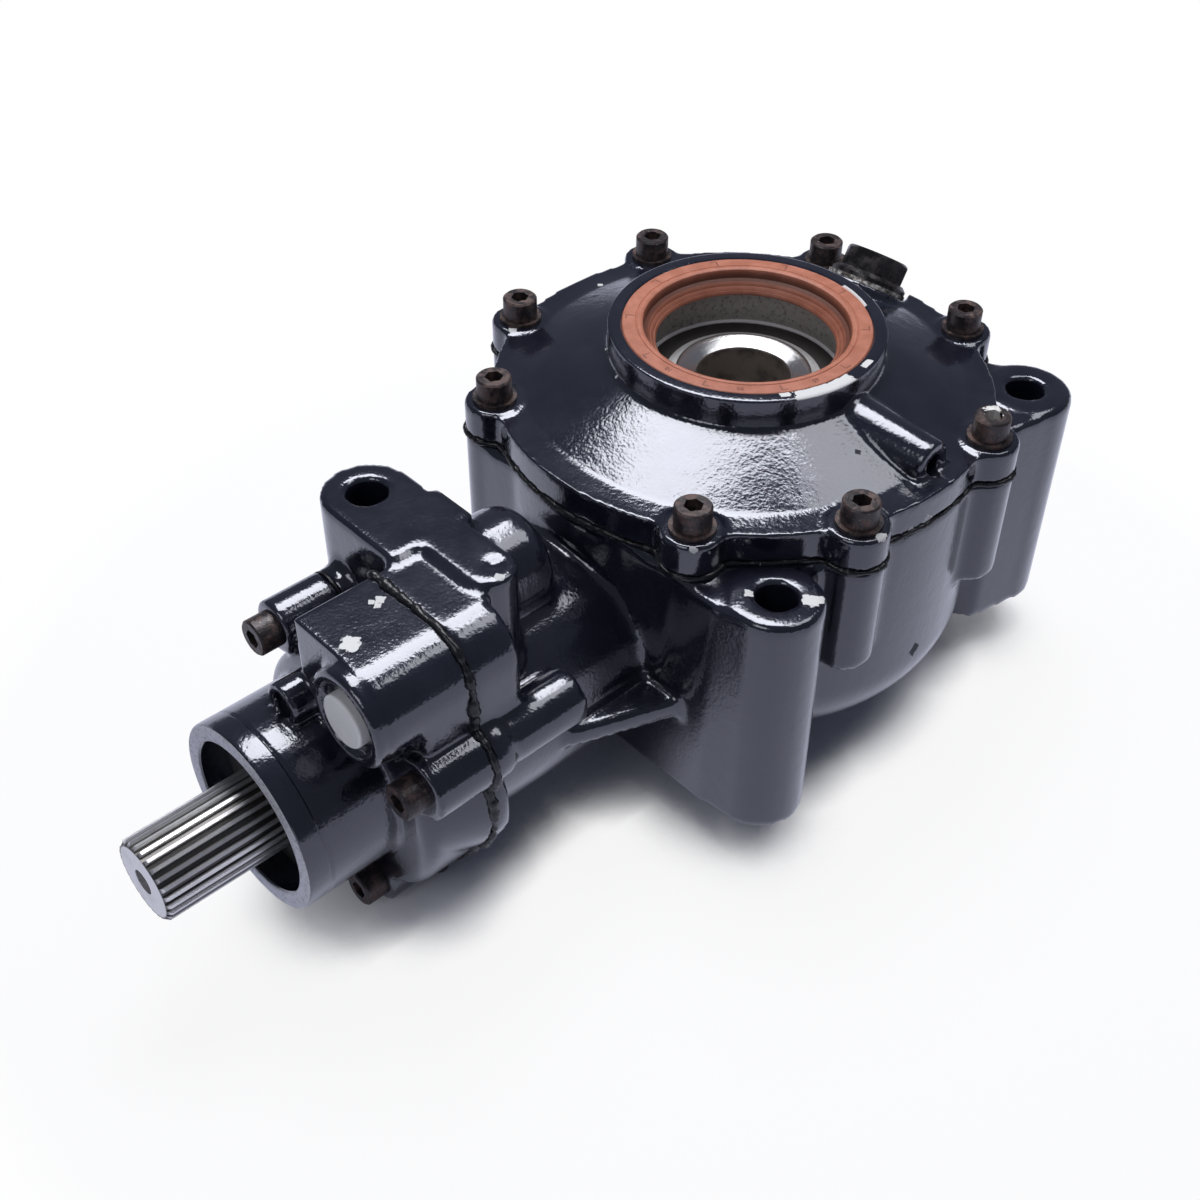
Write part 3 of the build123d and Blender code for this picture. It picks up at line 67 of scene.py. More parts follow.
print("pieces loaded:", len(nodes), "box in metres:", cad_box)

# %% [markdown]
# The photograph was taken from above the splined shaft, with a lens of about 48 mm on a
# 36 mm film. Its place was solved from the circles of the seal, the collar and the bores.
# A camera could be set by eye, but a solved one lets the render be laid over the photograph.

# %% Camera at the photograph's angle
camera_right = Vector((0.6792175861, 0.7339160620, 0.0055393689))
camera_up = Vector((-0.4909236325, 0.4486989115, 0.7467685544))
camera_back = Vector((0.5455799279, -0.5099377420, 0.6650609307))
camera_place = Vector((0.3254757, -0.3754250, 0.3979022))
film_width = 36.0
lens_length = 47.949
camera_turn = Matrix((camera_right, camera_up, camera_back)).transposed().to_4x4()
camera = bpy.data.objects.new("camera", bpy.data.cameras.new("camera"))
camera.data.sensor_width = film_width
camera.data.lens = lens_length
camera.data.clip_start = 0.01
camera.matrix_world = Matrix.Translation(camera_place) @ camera_turn
bpy.context.scene.collection.objects.link(camera)
bpy.context.scene.camera = camera
bpy.context.scene.view_settings.view_transform = "Standard"
print("camera stands", round(camera_place.length, 3), "m from the origin")

# %% [markdown]
# Materials are node trees. A few small helpers keep them short: one adds a node and sets
# its inputs by name, one joins or sets a socket, and the others make the nodes that come
# back in every finish: sums, noise, soft steps and mixed colours.

# %% Helpers for node trees
def add_node(tree, kind, **settings):
    """Adds a shader node and sets its properties and inputs by name."""
    made = tree.nodes.new("ShaderNode" + kind)
    for name, value in settings.items():
        if hasattr(made, name):
            setattr(made, name, value)
        else:
            put(tree, made.inputs[name.replace("_", " ")], value)
    return made


def put(tree, target, value):
    """Joins an output socket to an input, or sets the input to a plain value."""
    if isinstance(value, bpy.types.NodeSocket):
        tree.links.new(value, target)
    else:
        target.default_value = value


def maths(tree, operation, first, second=0.0):
    """One step of arithmetic on two values."""
    made = add_node(tree, "Math", operation=operation)
    put(tree, made.inputs[0], first)
    put(tree, made.inputs[1], second)
    return made.outputs[0]


def speckle(tree, place, scale, detail=3.0, roughness=0.55):
    """Soft noise between 0 and 1, with its scale in waves per metre."""
    made = add_node(tree, "TexNoise", Vector=place, Scale=scale, Detail=detail, Roughness=roughness)
    return made.outputs["Fac"]


def soft_step(tree, value, low, high):
    """0 below the low value, 1 above the high one, and smooth between them."""
    made = add_node(tree, "MapRange", interpolation_type="SMOOTHSTEP", Value=value,
                    From_Min=low, From_Max=high)
    return made.outputs["Result"]


def between(tree, share, first, second):
    """A colour between two others."""
    made = add_node(tree, "Mix", data_type="RGBA")
    put(tree, made.inputs[0], share)
    for socket, colour in ((made.inputs[6], first), (made.inputs[7], second)):
        put(tree, socket, colour if isinstance(colour, bpy.types.NodeSocket) else (*colour, 1))
    return made.outputs[2]


def near(tree, value, target, width):
    """1 where a value is within a width of a target, and 0 elsewhere."""
    apart = maths(tree, "ABSOLUTE", maths(tree, "SUBTRACT", value, target))
    return maths(tree, "LESS_THAN", apart, width)


about_z = (1, 1, 0)
about_y = (1, 0, 1)


def radius_about(tree, place, keep):
    """Distance from an axis through the origin: keep has a 0 for the axis's own direction."""
    flat = add_node(tree, "VectorMath", operation="MULTIPLY")
    put(tree, flat.inputs[0], place)
    put(tree, flat.inputs[1], keep)
    length = add_node(tree, "VectorMath", operation="LENGTH")
    put(tree, length.inputs[0], flat.outputs[0])
    return length.outputs["Value"]


def new_finish(name):
    """A material with only a Principled shader, and its tree, shader and object coordinates."""
    made = bpy.data.materials.new(name)
    made.use_nodes = True
    tree = made.node_tree
    shader = tree.nodes["Principled BSDF"]
    place = add_node(tree, "TexCoord").outputs["Object"]
    return made, tree, shader, place


def finish_bump(tree, shader, height, distance, strength=1.0):
    """Feeds a height to the shader's normal through a bump node."""
    bump = add_node(tree, "Bump", Strength=strength, Distance=distance, Height=height)
    put(tree, shader.inputs["Normal"], bump.outputs["Normal"])
    put(tree, shader.inputs["Coat Normal"], bump.outputs["Normal"])


# %% [markdown]
# A pale floor carries the object's shadow. Away from the object, and wherever little stands
# over it, it turns into plain white for the camera and into a pale grey for reflections, so
# the picture has the photograph's white backdrop with a soft shadow close to the castings.
# More light would whiten it too, but then the paint would be too bright.

# %% Pale floor
floor_z = cad_box[0][2]
floor_side = 8.0
object_middle = (0.03, -0.06, 0)
white_from = 0.1
white_to = 0.3
shadow_reach = 0.034
bpy.ops.object.select_all(action="DESELECT")
bpy.ops.mesh.primitive_plane_add(size=floor_side, location=(0, 0, floor_z))
floor = bpy.context.active_object
floor.name = "floor"
bpy.ops.object.transform_apply(location=True, rotation=True, scale=True)
floor_paint, tree, shader, place = new_finish("pale_floor")
shader.inputs["Base Color"].default_value = (0.86, 0.87, 0.96, 1)
shader.inputs["Roughness"].default_value = 0.6
shader.inputs["Specular IOR Level"].default_value = 0.2
path = add_node(tree, "LightPath")
mirrored = path.outputs["Is Glossy Ray"]
white = add_node(tree, "Emission", Color=between(tree, mirrored, (1, 1, 1), (0.62, 0.64, 0.78)))
middle = add_node(tree, "VectorMath", operation="SUBTRACT")
put(tree, middle.inputs[0], place)
put(tree, middle.inputs[1], object_middle)
fade = soft_step(tree, radius_about(tree, middle.outputs[0], about_z), white_from, white_to)
openness = add_node(tree, "AmbientOcclusion", Distance=shadow_reach, samples=16).outputs["AO"]
lit = maths(tree, "MULTIPLY", soft_step(tree, openness, 0.5, 0.92), 0.9)
seen = maths(tree, "MAXIMUM", path.outputs["Is Camera Ray"], mirrored)
blend = add_node(tree, "MixShader")
put(tree, blend.inputs["Fac"], maths(tree, "MULTIPLY", seen, maths(tree, "MAXIMUM", fade, lit)))
put(tree, blend.inputs[1], shader.outputs[0])
put(tree, blend.inputs[2], white.outputs[0])
put(tree, tree.nodes["Material Output"].inputs["Surface"], blend.outputs[0])
floor.data.materials.append(floor_paint)
print("floor lies at", round(floor_z, 4), "m")

# %% [markdown]
# The photograph shows two broad bright reflections on the paint, so two large, nearly square
# lamps hang above and behind the part, and a weak one fills the front. The world adds a
# little bluish light from all round, and is plain white where the camera sees it.

# %% World and softboxes
studio = bpy.data.worlds.new("studio")
bpy.context.scene.world = studio
studio.use_nodes = True
tree = studio.node_tree
back = tree.nodes["Background"]
back.inputs["Color"].default_value = (0.72, 0.78, 1.0, 1)
back.inputs["Strength"].default_value = 0.13
plain = add_node(tree, "Background", Color=(1, 1, 1, 1), Strength=1.0)
path = add_node(tree, "LightPath")
blend = add_node(tree, "MixShader")
put(tree, blend.inputs["Fac"], path.outputs["Is Camera Ray"])
put(tree, blend.inputs[1], back.outputs[0])
put(tree, blend.inputs[2], plain.outputs[0])
put(tree, tree.nodes["World Output"].inputs["Surface"], blend.outputs[0])


def add_softbox(name, place, aim, width, height, power, turn=0.0):
    """A rectangular area lamp at a place, aimed at a point and turned about its own axis."""
    lamp = bpy.data.objects.new(name, bpy.data.lights.new(name, "AREA"))
    lamp.data.shape = "RECTANGLE"
    lamp.data.size = width
    lamp.data.size_y = height
    lamp.data.energy = power
    lamp.data.color = (0.95, 0.96, 1.0)
    lamp.location = place
    look = (Vector(place) - Vector(aim)).to_track_quat("Z", "Y").to_matrix()
    lamp.rotation_euler = (look @ Matrix.Rotation(math.radians(turn), 3, "Z")).to_euler()
    bpy.context.scene.collection.objects.link(lamp)
    print(name, "gives", power, "W")


add_softbox("main_softbox", (-0.34, 0.16, 0.95), (-0.3399, 0.16, 0.0),
            width=0.6, height=0.58, power=9.4, turn=65.0)
add_softbox("side_softbox", (0.21, 0.46, 0.95), (0.2101, 0.46, 0.0),
            width=0.5, height=0.45, power=2.3, turn=65.0)
add_softbox("front_fill", (0.2, -1.1, 1.0), (0, -0.05, 0), width=0.6, height=0.6, power=2.6)

# %% [markdown]
# Three effects come back on many finishes, so each is a node group, built once and placed in
# each material with its own values. The first is the cast skin, the lumpy surface of
# sand-cast iron under paint: small grain on larger, softer waves.

# %% Shared group: cast skin
def new_group(name, inputs, output):
    """An empty node group with named inputs and one output."""
    group = bpy.data.node_groups.new(name, "ShaderNodeTree")
    for label, kind, value in inputs:
        socket = group.interface.new_socket(label, in_out="INPUT", socket_type="NodeSocket" + kind)
        if value is not None:
            socket.default_value = value
    group.interface.new_socket(output, in_out="OUTPUT", socket_type="NodeSocketFloat")
    return group, group.nodes.new("NodeGroupInput").outputs, group.nodes.new("NodeGroupOutput").inputs


cast_skin, given, result = new_group(
    "cast_skin", [("Place", "Vector", None), ("Grain", "Float", 900.0), ("Waves", "Float", 160.0)],
    "Height")
fine = speckle(cast_skin, given["Place"], given["Grain"], 2.0, 0.5)
broad = speckle(cast_skin, given["Place"], given["Waves"], 2.0, 0.5)
put(cast_skin, result["Height"],
    maths(cast_skin, "ADD", maths(cast_skin, "MULTIPLY", fine, 0.65), broad))
print("cast_skin has", len(cast_skin.nodes), "nodes")

# %% [markdown]
# The second is a chip: a ragged spot round a given point, where paint has flaked off or
# filler shows. Adding up the distances along the three axes gives a spot with corners, and
# noise on its edge breaks it up. Real chips are angular, and a plain sphere looks like a dot.

# %% Shared group: ragged chip
ragged_chip, given, result = new_group(
    "ragged_chip", [("Place", "Vector", None), ("Centre", "Vector", None), ("Size", "Float", 0.001)],
    "Mask")
apart = add_node(ragged_chip, "VectorMath", operation="SUBTRACT")
put(ragged_chip, apart.inputs[0], given["Place"])
put(ragged_chip, apart.inputs[1], given["Centre"])
sides = add_node(ragged_chip, "VectorMath", operation="ABSOLUTE")
put(ragged_chip, sides.inputs[0], apart.outputs[0])
reach = add_node(ragged_chip, "VectorMath", operation="DOT_PRODUCT")
put(ragged_chip, reach.inputs[0], sides.outputs[0])
put(ragged_chip, reach.inputs[1], (1, 1, 1))
share = maths(ragged_chip, "DIVIDE", reach.outputs["Value"], given["Size"])
rag = speckle(ragged_chip, given["Place"], 420.0, 3.0, 0.6)
edge = maths(ragged_chip, "ADD", share, maths(ragged_chip, "MULTIPLY", rag, 1.5))
put(ragged_chip, result["Mask"], maths(ragged_chip, "SUBTRACT", 1.0,
                                       soft_step(ragged_chip, edge, 1.6, 1.7)))
print("ragged_chip has", len(ragged_chip.nodes), "nodes")

# %% [markdown]
# The third is the fine streaks that a lathe or a grinder leaves. Noise along one direction,
# such as the height on a shaft or the radius on a face, is streaky by itself, and a slow
# drift keeps the lines from being perfectly straight.

# %% Shared group: streaked metal
streaks, given, result = new_group(
    "streaks", [("Along", "Float", None), ("Place", "Vector", None), ("Fineness", "Float", 4000.0)],
    "Streak")
drift = maths(streaks, "MULTIPLY", speckle(streaks, given["Place"], 60.0, 1.0, 0.5), 0.0006)
line = add_node(streaks, "TexNoise", noise_dimensions="1D", Detail=3.0, Roughness=0.7)
put(streaks, line.inputs["W"], maths(streaks, "ADD", given["Along"], drift))
put(streaks, line.inputs["Scale"], given["Fineness"])
put(streaks, result["Streak"], line.outputs["Fac"])
print("streaks has", len(streaks.nodes), "nodes")


def use_group(tree, group, **settings):
    """Places a shared group in a material and gives back its one output."""
    made = tree.nodes.new("ShaderNodeGroup")
    made.node_tree = group
    for name, value in settings.items():
        put(tree, made.inputs[name], value)
    return made.outputs[0]


# %% [markdown]
# The castings are gloss black: nearly black with a trace of blue, a hard coat, and the
# skin of the casting under it. Where a cutter has passed after painting, or where seals
# and bearings sit, the iron is bare and grey, so each casting gets masks for those zones.
# The masks come first: a worn arc on a rim, and a zone inside a radius about an axis.

# %% Masks of worn and bare places
def either(tree, first, second):
    """The larger of two masks, where the first may not exist yet."""
    return second if first is None else maths(tree, "MAXIMUM", first, second)


def worn_arc(tree, place, azimuth, spread, low, high, level):
    """A ragged mask on part of a ring about the axle, above a level, in degrees and millimetres."""
    split = add_node(tree, "SeparateXYZ", Vector=place)
    turn = maths(tree, "ARCTAN2", split.outputs["Y"], split.outputs["X"])
    off = maths(tree, "ABSOLUTE", maths(tree, "SUBTRACT", turn, math.radians(azimuth)))
    side = maths(tree, "ABSOLUTE", maths(tree, "SUBTRACT", radius_about(tree, place, about_z),
                                         (low + high) / 2 * mm))
    share = maths(tree, "MAXIMUM", maths(tree, "DIVIDE", off, math.radians(spread)),
                  maths(tree, "DIVIDE", side, (high - low) / 2 * mm))
    rag = maths(tree, "MULTIPLY", speckle(tree, place, 420.0, 4.0, 0.6), 0.8)
    spot = maths(tree, "LESS_THAN", maths(tree, "ADD", share, rag), 1.35)
    return maths(tree, "MULTIPLY", spot, maths(tree, "GREATER_THAN", split.outputs["Z"], level * mm))


def bare_zone(tree, place, keep, radius, axis, low, high):
    """A mask inside a radius about an axis and between two levels along it, in millimetres."""
    inside = maths(tree, "LESS_THAN", radius_about(tree, place, keep), radius * mm)
    split = add_node(tree, "SeparateXYZ", Vector=place)
    above = maths(tree, "GREATER_THAN", split.outputs[axis], low * mm)
    below = maths(tree, "LESS_THAN", split.outputs[axis], high * mm)
    return maths(tree, "MULTIPLY", inside, maths(tree, "MULTIPLY", above, below))


# %% [markdown]
# Each casting then gets its own material from one function, with a list of the chips and
# worn places that the photograph shows on it. A painted image could hold them too, but
# places in millimetres stay readable, and they sit right from every side.

# %% Black paint of the castings
def black_paint(name, chips, bare=(), arcs=()):
    """Gloss black over a cast skin, with chips, zones of bare grey iron and worn arcs."""
    made, tree, shader, place = new_finish(name)
    skin = use_group(tree, cast_skin, Place=place)
    patches = speckle(tree, place, 45.0, 4.0)
    dust = speckle(tree, place, 1000.0, 3.0, 0.7)
    colour = between(tree, soft_step(tree, patches, 0.35, 0.75), (0.006, 0.007, 0.014),
                     (0.013, 0.014, 0.024))
    colour = between(tree, soft_step(tree, dust, 0.78, 0.81), colour, (0.5, 0.49, 0.47))
    gone = None
    for (x, y, z), size, shade in chips:
        spot = use_group(tree, ragged_chip, Place=place, Centre=(x * mm, y * mm, z * mm), Size=size * mm)
        colour = between(tree, spot, colour, (shade, shade, shade * 0.97))
        gone = either(tree, gone, spot)
    for arc in arcs:
        spot = worn_arc(tree, place, *arc)
        colour = between(tree, spot, colour, (0.72, 0.72, 0.7))
        gone = either(tree, gone, spot)
    zones = None
    for keep, radius, axis, low, high, dark, light in bare:
        zone = bare_zone(tree, place, keep, radius, axis, low, high)
        zones = either(tree, zones, zone)
        pits = soft_step(tree, speckle(tree, place, 700.0, 5.0, 0.75), 0.36, 0.5)
        colour = between(tree, zone, colour, between(tree, pits, dark, light))
    if zones is not None:
        gone = either(tree, gone, zones)
        put(tree, shader.inputs["Metallic"], maths(tree, "MULTIPLY", zones, 0.4))
    put(tree, shader.inputs["Base Color"], colour)
    smear = maths(tree, "ADD", 0.12, maths(tree, "MULTIPLY", speckle(tree, place, 120.0, 3.0), 0.16))
    put(tree, shader.inputs["Roughness"], maths(tree, "ADD", smear, maths(tree, "MULTIPLY", gone, 0.35)))
    put(tree, shader.inputs["Coat Weight"], maths(tree, "SUBTRACT", 1.0, gone))
    shader.inputs["Specular IOR Level"].default_value = 0.45
    shader.inputs["Specular Tint"].default_value = (0.75, 0.78, 1.0, 1)
    shader.inputs["Coat IOR"].default_value = 1.7
    shader.inputs["Coat Roughness"].default_value = 0.04
    finish_bump(tree, shader, skin, 0.00011)
    print(name, "has", len(chips), "chips,", len(arcs), "worn arcs and", len(bare), "bare zones")
    return made


# A chip is its place and its size in millimetres, and its shade. An arc is its azimuth and
# half its spread in degrees, its inner and outer radius, and the level it lies above.
cover_chips = [
    ((95.2, -35.0, 69.3), 3.0, 0.7), ((91.8, -5.5, 58.4), 3.0, 0.6), ((90.9, -13.0, 57.5), 2.2, 0.6),
    ((57.6, -84.3, 68.4), 2.2, 0.6), ((-80.1, -42.8, 69.3), 2.2, 0.6), ((-82.8, 4.9, 68.9), 1.8, 0.6),
    ((-32.7, -38.1, 80.9), 1.2, 0.6), ((-17.7, -47.3, 80.8), 1.2, 0.55), ((64.3, -12.0, 75.1), 1.7, 0.012)]
cover_arcs = [(-12.5, 15.0, 45.6, 50.6, 91.0), (13.5, 3.4, 46.4, 48.9, 91.0), (72.0, 10.0, 44.9, 45.9, 91.0),
              (-31.0, 2.2, 45.6, 48.0, 91.0)]
nose_chips = [
    ((20.2, -192.4, 69.6), 4.6, 0.8), ((10.4, -173.8, 69.6), 2.3, 0.7), ((12.0, -175.8, 69.6), 1.8, 0.7),
    ((9.4, -176.4, 69.6), 1.5, 0.7)]
case_chips = [
    ((75.1, -75.0, 55.8), 2.2, 0.7), ((90.5, -63.2, 55.8), 4.2, 0.75), ((92.6, -60.2, 55.8), 3.0, 0.75),
    ((29.0, -141.1, 71.8), 2.4, 0.65), ((92.0, 1.1, -6.0), 3.4, 0.02)]
painted = {
    "case": black_paint("black_paint", case_chips),
    "cover": black_paint("cover_paint", cover_chips, [
        (about_z, 44.5, 2, 58.0, 95.0, (0.2, 0.19, 0.17), (0.4, 0.38, 0.35))], cover_arcs),
    "nose": black_paint("nose_paint", nose_chips, [
        (about_y, 60.0, 1, -230.0, -226.6, (0.36, 0.36, 0.37), (0.62, 0.62, 0.63))]),
}

# %% [markdown]
# The screws are black steel with brown rust, and one of them carries a blot of pale filler.
# Two noises do it: a broad one for the rust and a fine one for the dust on it.

# %% Rusty screws and plugs
screw_steel, tree, shader, place = new_finish("dark_steel")
patches = soft_step(tree, speckle(tree, place, 260.0, 5.0, 0.65), 0.42, 0.68)
colour = between(tree, patches, (0.04, 0.033, 0.034), (0.14, 0.09, 0.078))
dusty = soft_step(tree, speckle(tree, place, 700.0, 3.0, 0.7), 0.6, 0.72)
colour = between(tree, dusty, colour, (0.2, 0.17, 0.16))
filler = use_group(tree, ragged_chip, Place=place, Centre=(82.6 * mm, 37.7 * mm, 77.2 * mm), Size=5.5 * mm)
colour = between(tree, filler, colour, (0.85, 0.84, 0.8))
put(tree, shader.inputs["Base Color"], colour)
shader.inputs["Metallic"].default_value = 0.35
put(tree, shader.inputs["Roughness"], maths(tree, "ADD", 0.3, maths(tree, "MULTIPLY", patches, 0.3)))
finish_bump(tree, shader, use_group(tree, cast_skin, Place=place, Grain=2200.0, Waves=500.0), 0.0003, 0.5)
print(screw_steel.name, "has", len(tree.nodes), "nodes")

# %% [markdown]
# The filler plug is blacker and smoother than the screws, so it has a steel of its own.

# %% Black steel of the filler plug
plug_steel, tree, shader, place = new_finish("plug_steel")
patches = soft_step(tree, speckle(tree, place, 200.0, 4.0, 0.6), 0.4, 0.7)
put(tree, shader.inputs["Base Color"], between(tree, patches, (0.012, 0.011, 0.012), (0.05, 0.042, 0.04)))
shader.inputs["Metallic"].default_value = 0.3
put(tree, shader.inputs["Roughness"], maths(tree, "ADD", 0.2, maths(tree, "MULTIPLY", patches, 0.25)))
finish_bump(tree, shader, use_group(tree, cast_skin, Place=place, Grain=1800.0, Waves=400.0), 0.0002, 0.5)
print(plug_steel.name, "has", len(tree.nodes), "nodes")

# %% [markdown]
# The washer under the plug is soft silvery metal, stained dark in patches. The patches also
# feed its bump, so the stains lie a little lower than the clean metal.

# %% Silvery washer of the filler plug
washer_steel, tree, shader, place = new_finish("washer_steel")
patches = soft_step(tree, speckle(tree, place, 420.0, 4.0, 0.7), 0.4, 0.62)
put(tree, shader.inputs["Base Color"], between(tree, patches, (0.1, 0.085, 0.07), (0.72, 0.7, 0.66)))
shader.inputs["Metallic"].default_value = 0.5
put(tree, shader.inputs["Roughness"], maths(tree, "ADD", 0.4, maths(tree, "MULTIPLY", patches, 0.25)))
finish_bump(tree, shader, patches, 0.0002, 0.5)
print(washer_steel.name, "has", len(tree.nodes), "nodes")

# %% [markdown]
# The input shaft is bright steel. Its splines run along the pinion's axis and were cut round
# it, so streaks follow both the angle and the length. The ring between two radii where the
# spline's grooves are deepest is drawn much darker.

# %% Bright steel of the shafts, with streaks along the pinion axis
bright_steel, tree, shader, place = new_finish("bright_steel")
around = add_node(tree, "SeparateXYZ", Vector=place)
turn = maths(tree, "ARCTAN2", around.outputs["X"], around.outputs["Z"])
along = use_group(tree, streaks, Along=turn, Place=place, Fineness=60.0)
rings = use_group(tree, streaks, Along=around.outputs["Y"], Place=place, Fineness=2500.0)
radius = radius_about(tree, place, about_y)
deep = maths(tree, "MULTIPLY", soft_step(tree, radius, 14.3 * mm, 13.4 * mm),
             soft_step(tree, radius, 12.6 * mm, 13.0 * mm))
stain = soft_step(tree, speckle(tree, place, 90.0, 4.0, 0.65), 0.5, 0.75)
colour = between(tree, along, (0.66, 0.65, 0.64), (0.93, 0.92, 0.91))
colour = between(tree, maths(tree, "MULTIPLY", stain, 0.35), colour, (0.3, 0.27, 0.25))
colour = between(tree, maths(tree, "MULTIPLY", deep, 0.9), colour, (0.05, 0.045, 0.04))
put(tree, shader.inputs["Base Color"], colour)
shader.inputs["Metallic"].default_value = 0.85
put(tree, shader.inputs["Roughness"], maths(tree, "ADD", 0.28, maths(tree, "MULTIPLY", rings, 0.1)))
finish_bump(tree, shader, maths(tree, "ADD", along, rings), 0.00001, 1.0)
print(bright_steel.name, "has", len(tree.nodes), "nodes")

# %% [markdown]
# The hub is iron that was turned on a lathe, so it shines with fine rings. Its bore is stained
# brown and rougher, which a soft step on the radius tells apart.

# %% Iron of the hub and the differential case, turned about the axle
cast_steel, tree, shader, place = new_finish("cast_steel")
radius = radius_about(tree, place, about_z)
height = add_node(tree, "SeparateXYZ", Vector=place).outputs["Z"]
rings = use_group(tree, streaks, Along=maths(tree, "ADD", radius, height), Place=place, Fineness=3500.0)
stain = soft_step(tree, speckle(tree, place, 120.0, 4.0, 0.6), 0.4, 0.7)
colour = between(tree, rings, (0.5, 0.49, 0.48), (0.78, 0.77, 0.76))
inside = soft_step(tree, radius, 17.9 * mm, 17.6 * mm)
worn = between(tree, stain, (0.23, 0.2, 0.175), (0.1, 0.085, 0.075))
put(tree, shader.inputs["Base Color"], between(tree, inside, colour, worn))
put(tree, shader.inputs["Metallic"], maths(tree, "SUBTRACT", 0.95, maths(tree, "MULTIPLY", inside, 0.6)))
put(tree, shader.inputs["Roughness"], maths(tree, "ADD", 0.14, maths(tree, "MULTIPLY", inside, 0.36)))
finish_bump(tree, shader, rings, 0.00004, 1.0)
print(cast_steel.name, "has", len(tree.nodes), "nodes")

# %% [markdown]
# The edge of the bearing's race is ground steel, drawn very pale as a painted highlight. A low
# metallic value keeps it bright from every side, where pure metal would only mirror the dark collar.

# %% Ground edge of the bearing's outer race, with a painted highlight
painted_glint_steel, tree, shader, place = new_finish("painted_glint_steel")
rings = use_group(tree, streaks, Along=radius_about(tree, place, about_z), Place=place, Fineness=2500.0)
# Painted highlight: the near-white colour makes the race's edge a bright line from every side.
put(tree, shader.inputs["Base Color"], between(tree, rings, (0.82, 0.82, 0.82), (0.95, 0.95, 0.94)))
shader.inputs["Metallic"].default_value = 0.15
put(tree, shader.inputs["Roughness"], maths(tree, "ADD", 0.2, maths(tree, "MULTIPLY", rings, 0.1)))
finish_bump(tree, shader, rings, 0.00001, 1.0)
print(painted_glint_steel.name, "has", len(tree.nodes), "nodes")

# %% [markdown]
# The thrust washers are bronze, hidden inside the case. They show when a view is cut open or
# when the pieces are taken out, so they have a finish too.

# %% Bronze of the thrust washers
bronze, tree, shader, place = new_finish("bronze")
rings = use_group(tree, streaks, Along=radius_about(tree, place, about_z), Place=place, Fineness=3000.0)
put(tree, shader.inputs["Base Color"], between(tree, rings, (0.42, 0.25, 0.1), (0.62, 0.42, 0.2)))
shader.inputs["Metallic"].default_value = 1.0
put(tree, shader.inputs["Roughness"], maths(tree, "ADD", 0.25, maths(tree, "MULTIPLY", rings, 0.2)))
finish_bump(tree, shader, rings, 0.0001, 0.4)
print(bronze.name, "has", len(tree.nodes), "nodes")

# %% [markdown]
# The axle seal is orange-brown rubber, dusty on its face. Inside the lip its colour is drawn
# darker, which is painted shade. Ten plain marks are moulded into its outer ring. They repeat
# round the axle, so the angle is folded into one tenth of a turn and each mark is drawn once.
# Cutting them into the mesh would need far more faces for the same look.

# %% Brown rubber of the axle seal
def rubber(name, dark, light, dust):
    """Rubber with soft patches and a fine dust, moulded marks left to the caller."""
    made, tree, shader, place = new_finish(name)
    patches = speckle(tree, place, 160.0, 4.0, 0.6)
    colour = between(tree, soft_step(tree, patches, 0.3, 0.75), dark, light)
    pale = soft_step(tree, speckle(tree, place, 1300.0, 3.0, 0.7), 0.62, 0.76)
    colour = between(tree, maths(tree, "MULTIPLY", pale, 0.35), colour, dust)
    put(tree, shader.inputs["Roughness"], maths(tree, "ADD", 0.4, maths(tree, "MULTIPLY", patches, 0.25)))
    return made, tree, shader, place, colour


brown_rubber, tree, shader, place, colour = rubber(
    "brown_rubber", (0.38, 0.125, 0.07), (0.5, 0.185, 0.115), (0.66, 0.42, 0.33))
radius = radius_about(tree, place, about_z)
around = add_node(tree, "SeparateXYZ", Vector=place)
angle = maths(tree, "ARCTAN2", around.outputs["Y"], around.outputs["X"])
mark_count = 10
mark_pitch = 360 / mark_count
first_mark = 5.0
spoke_at = 0.1
mark_inner_r = 40.6
mark_outer_r = 43.7
turned = maths(tree, "SUBTRACT", angle, math.radians(first_mark - spoke_at * mark_pitch))
step = maths(tree, "FRACT", maths(tree, "DIVIDE", turned, math.radians(mark_pitch)))
in_ring = maths(tree, "MULTIPLY", maths(tree, "GREATER_THAN", radius, mark_inner_r * mm),
                maths(tree, "LESS_THAN", radius, mark_outer_r * mm))
spoke = maths(tree, "MULTIPLY", in_ring, near(tree, step, spoke_at, 0.009))
hook = maths(tree, "MULTIPLY", near(tree, radius, 43.55 * mm, 0.22 * mm), near(tree, step, 0.145, 0.045))
marks = maths(tree, "MAXIMUM", spoke, hook)
# Painted shade: the rubber inside the lip is drawn darker, most on the wall just below the bead.
outside_lip = soft_step(tree, radius, 35.3 * mm, 35.9 * mm)
painted_lip_shade = maths(tree, "MULTIPLY", soft_step(tree, radius, 37.6 * mm, 36.9 * mm),
              maths(tree, "ADD", 0.4, maths(tree, "MULTIPLY", outside_lip, 0.45)))
colour = between(tree, maths(tree, "MULTIPLY", marks, 0.75), colour, (0.13, 0.035, 0.02))
put(tree, shader.inputs["Base Color"], between(tree, painted_lip_shade, colour, (0.09, 0.03, 0.018)))
skin = use_group(tree, cast_skin, Place=place, Grain=3000.0, Waves=700.0)
finish_bump(tree, shader, maths(tree, "SUBTRACT", skin, maths(tree, "MULTIPLY", marks, 3.0)), 0.00006, 1.0)
print("the seal has", mark_count, "moulded marks")

# %% [markdown]
# The gaskets, the input seal, the bearing's shield and the white plug are soft or pressed
# pieces with a plain surface, so a noise or two is enough for each of them.

# %% Black rubber, gasket, shield and white plastic
black_rubber, tree, shader, place, colour = rubber(
    "black_rubber", (0.012, 0.012, 0.012), (0.03, 0.028, 0.026), (0.08, 0.075, 0.07))
put(tree, shader.inputs["Base Color"], colour)
finish_bump(tree, shader, use_group(tree, cast_skin, Place=place, Grain=3000.0, Waves=700.0), 0.00006, 1.0)

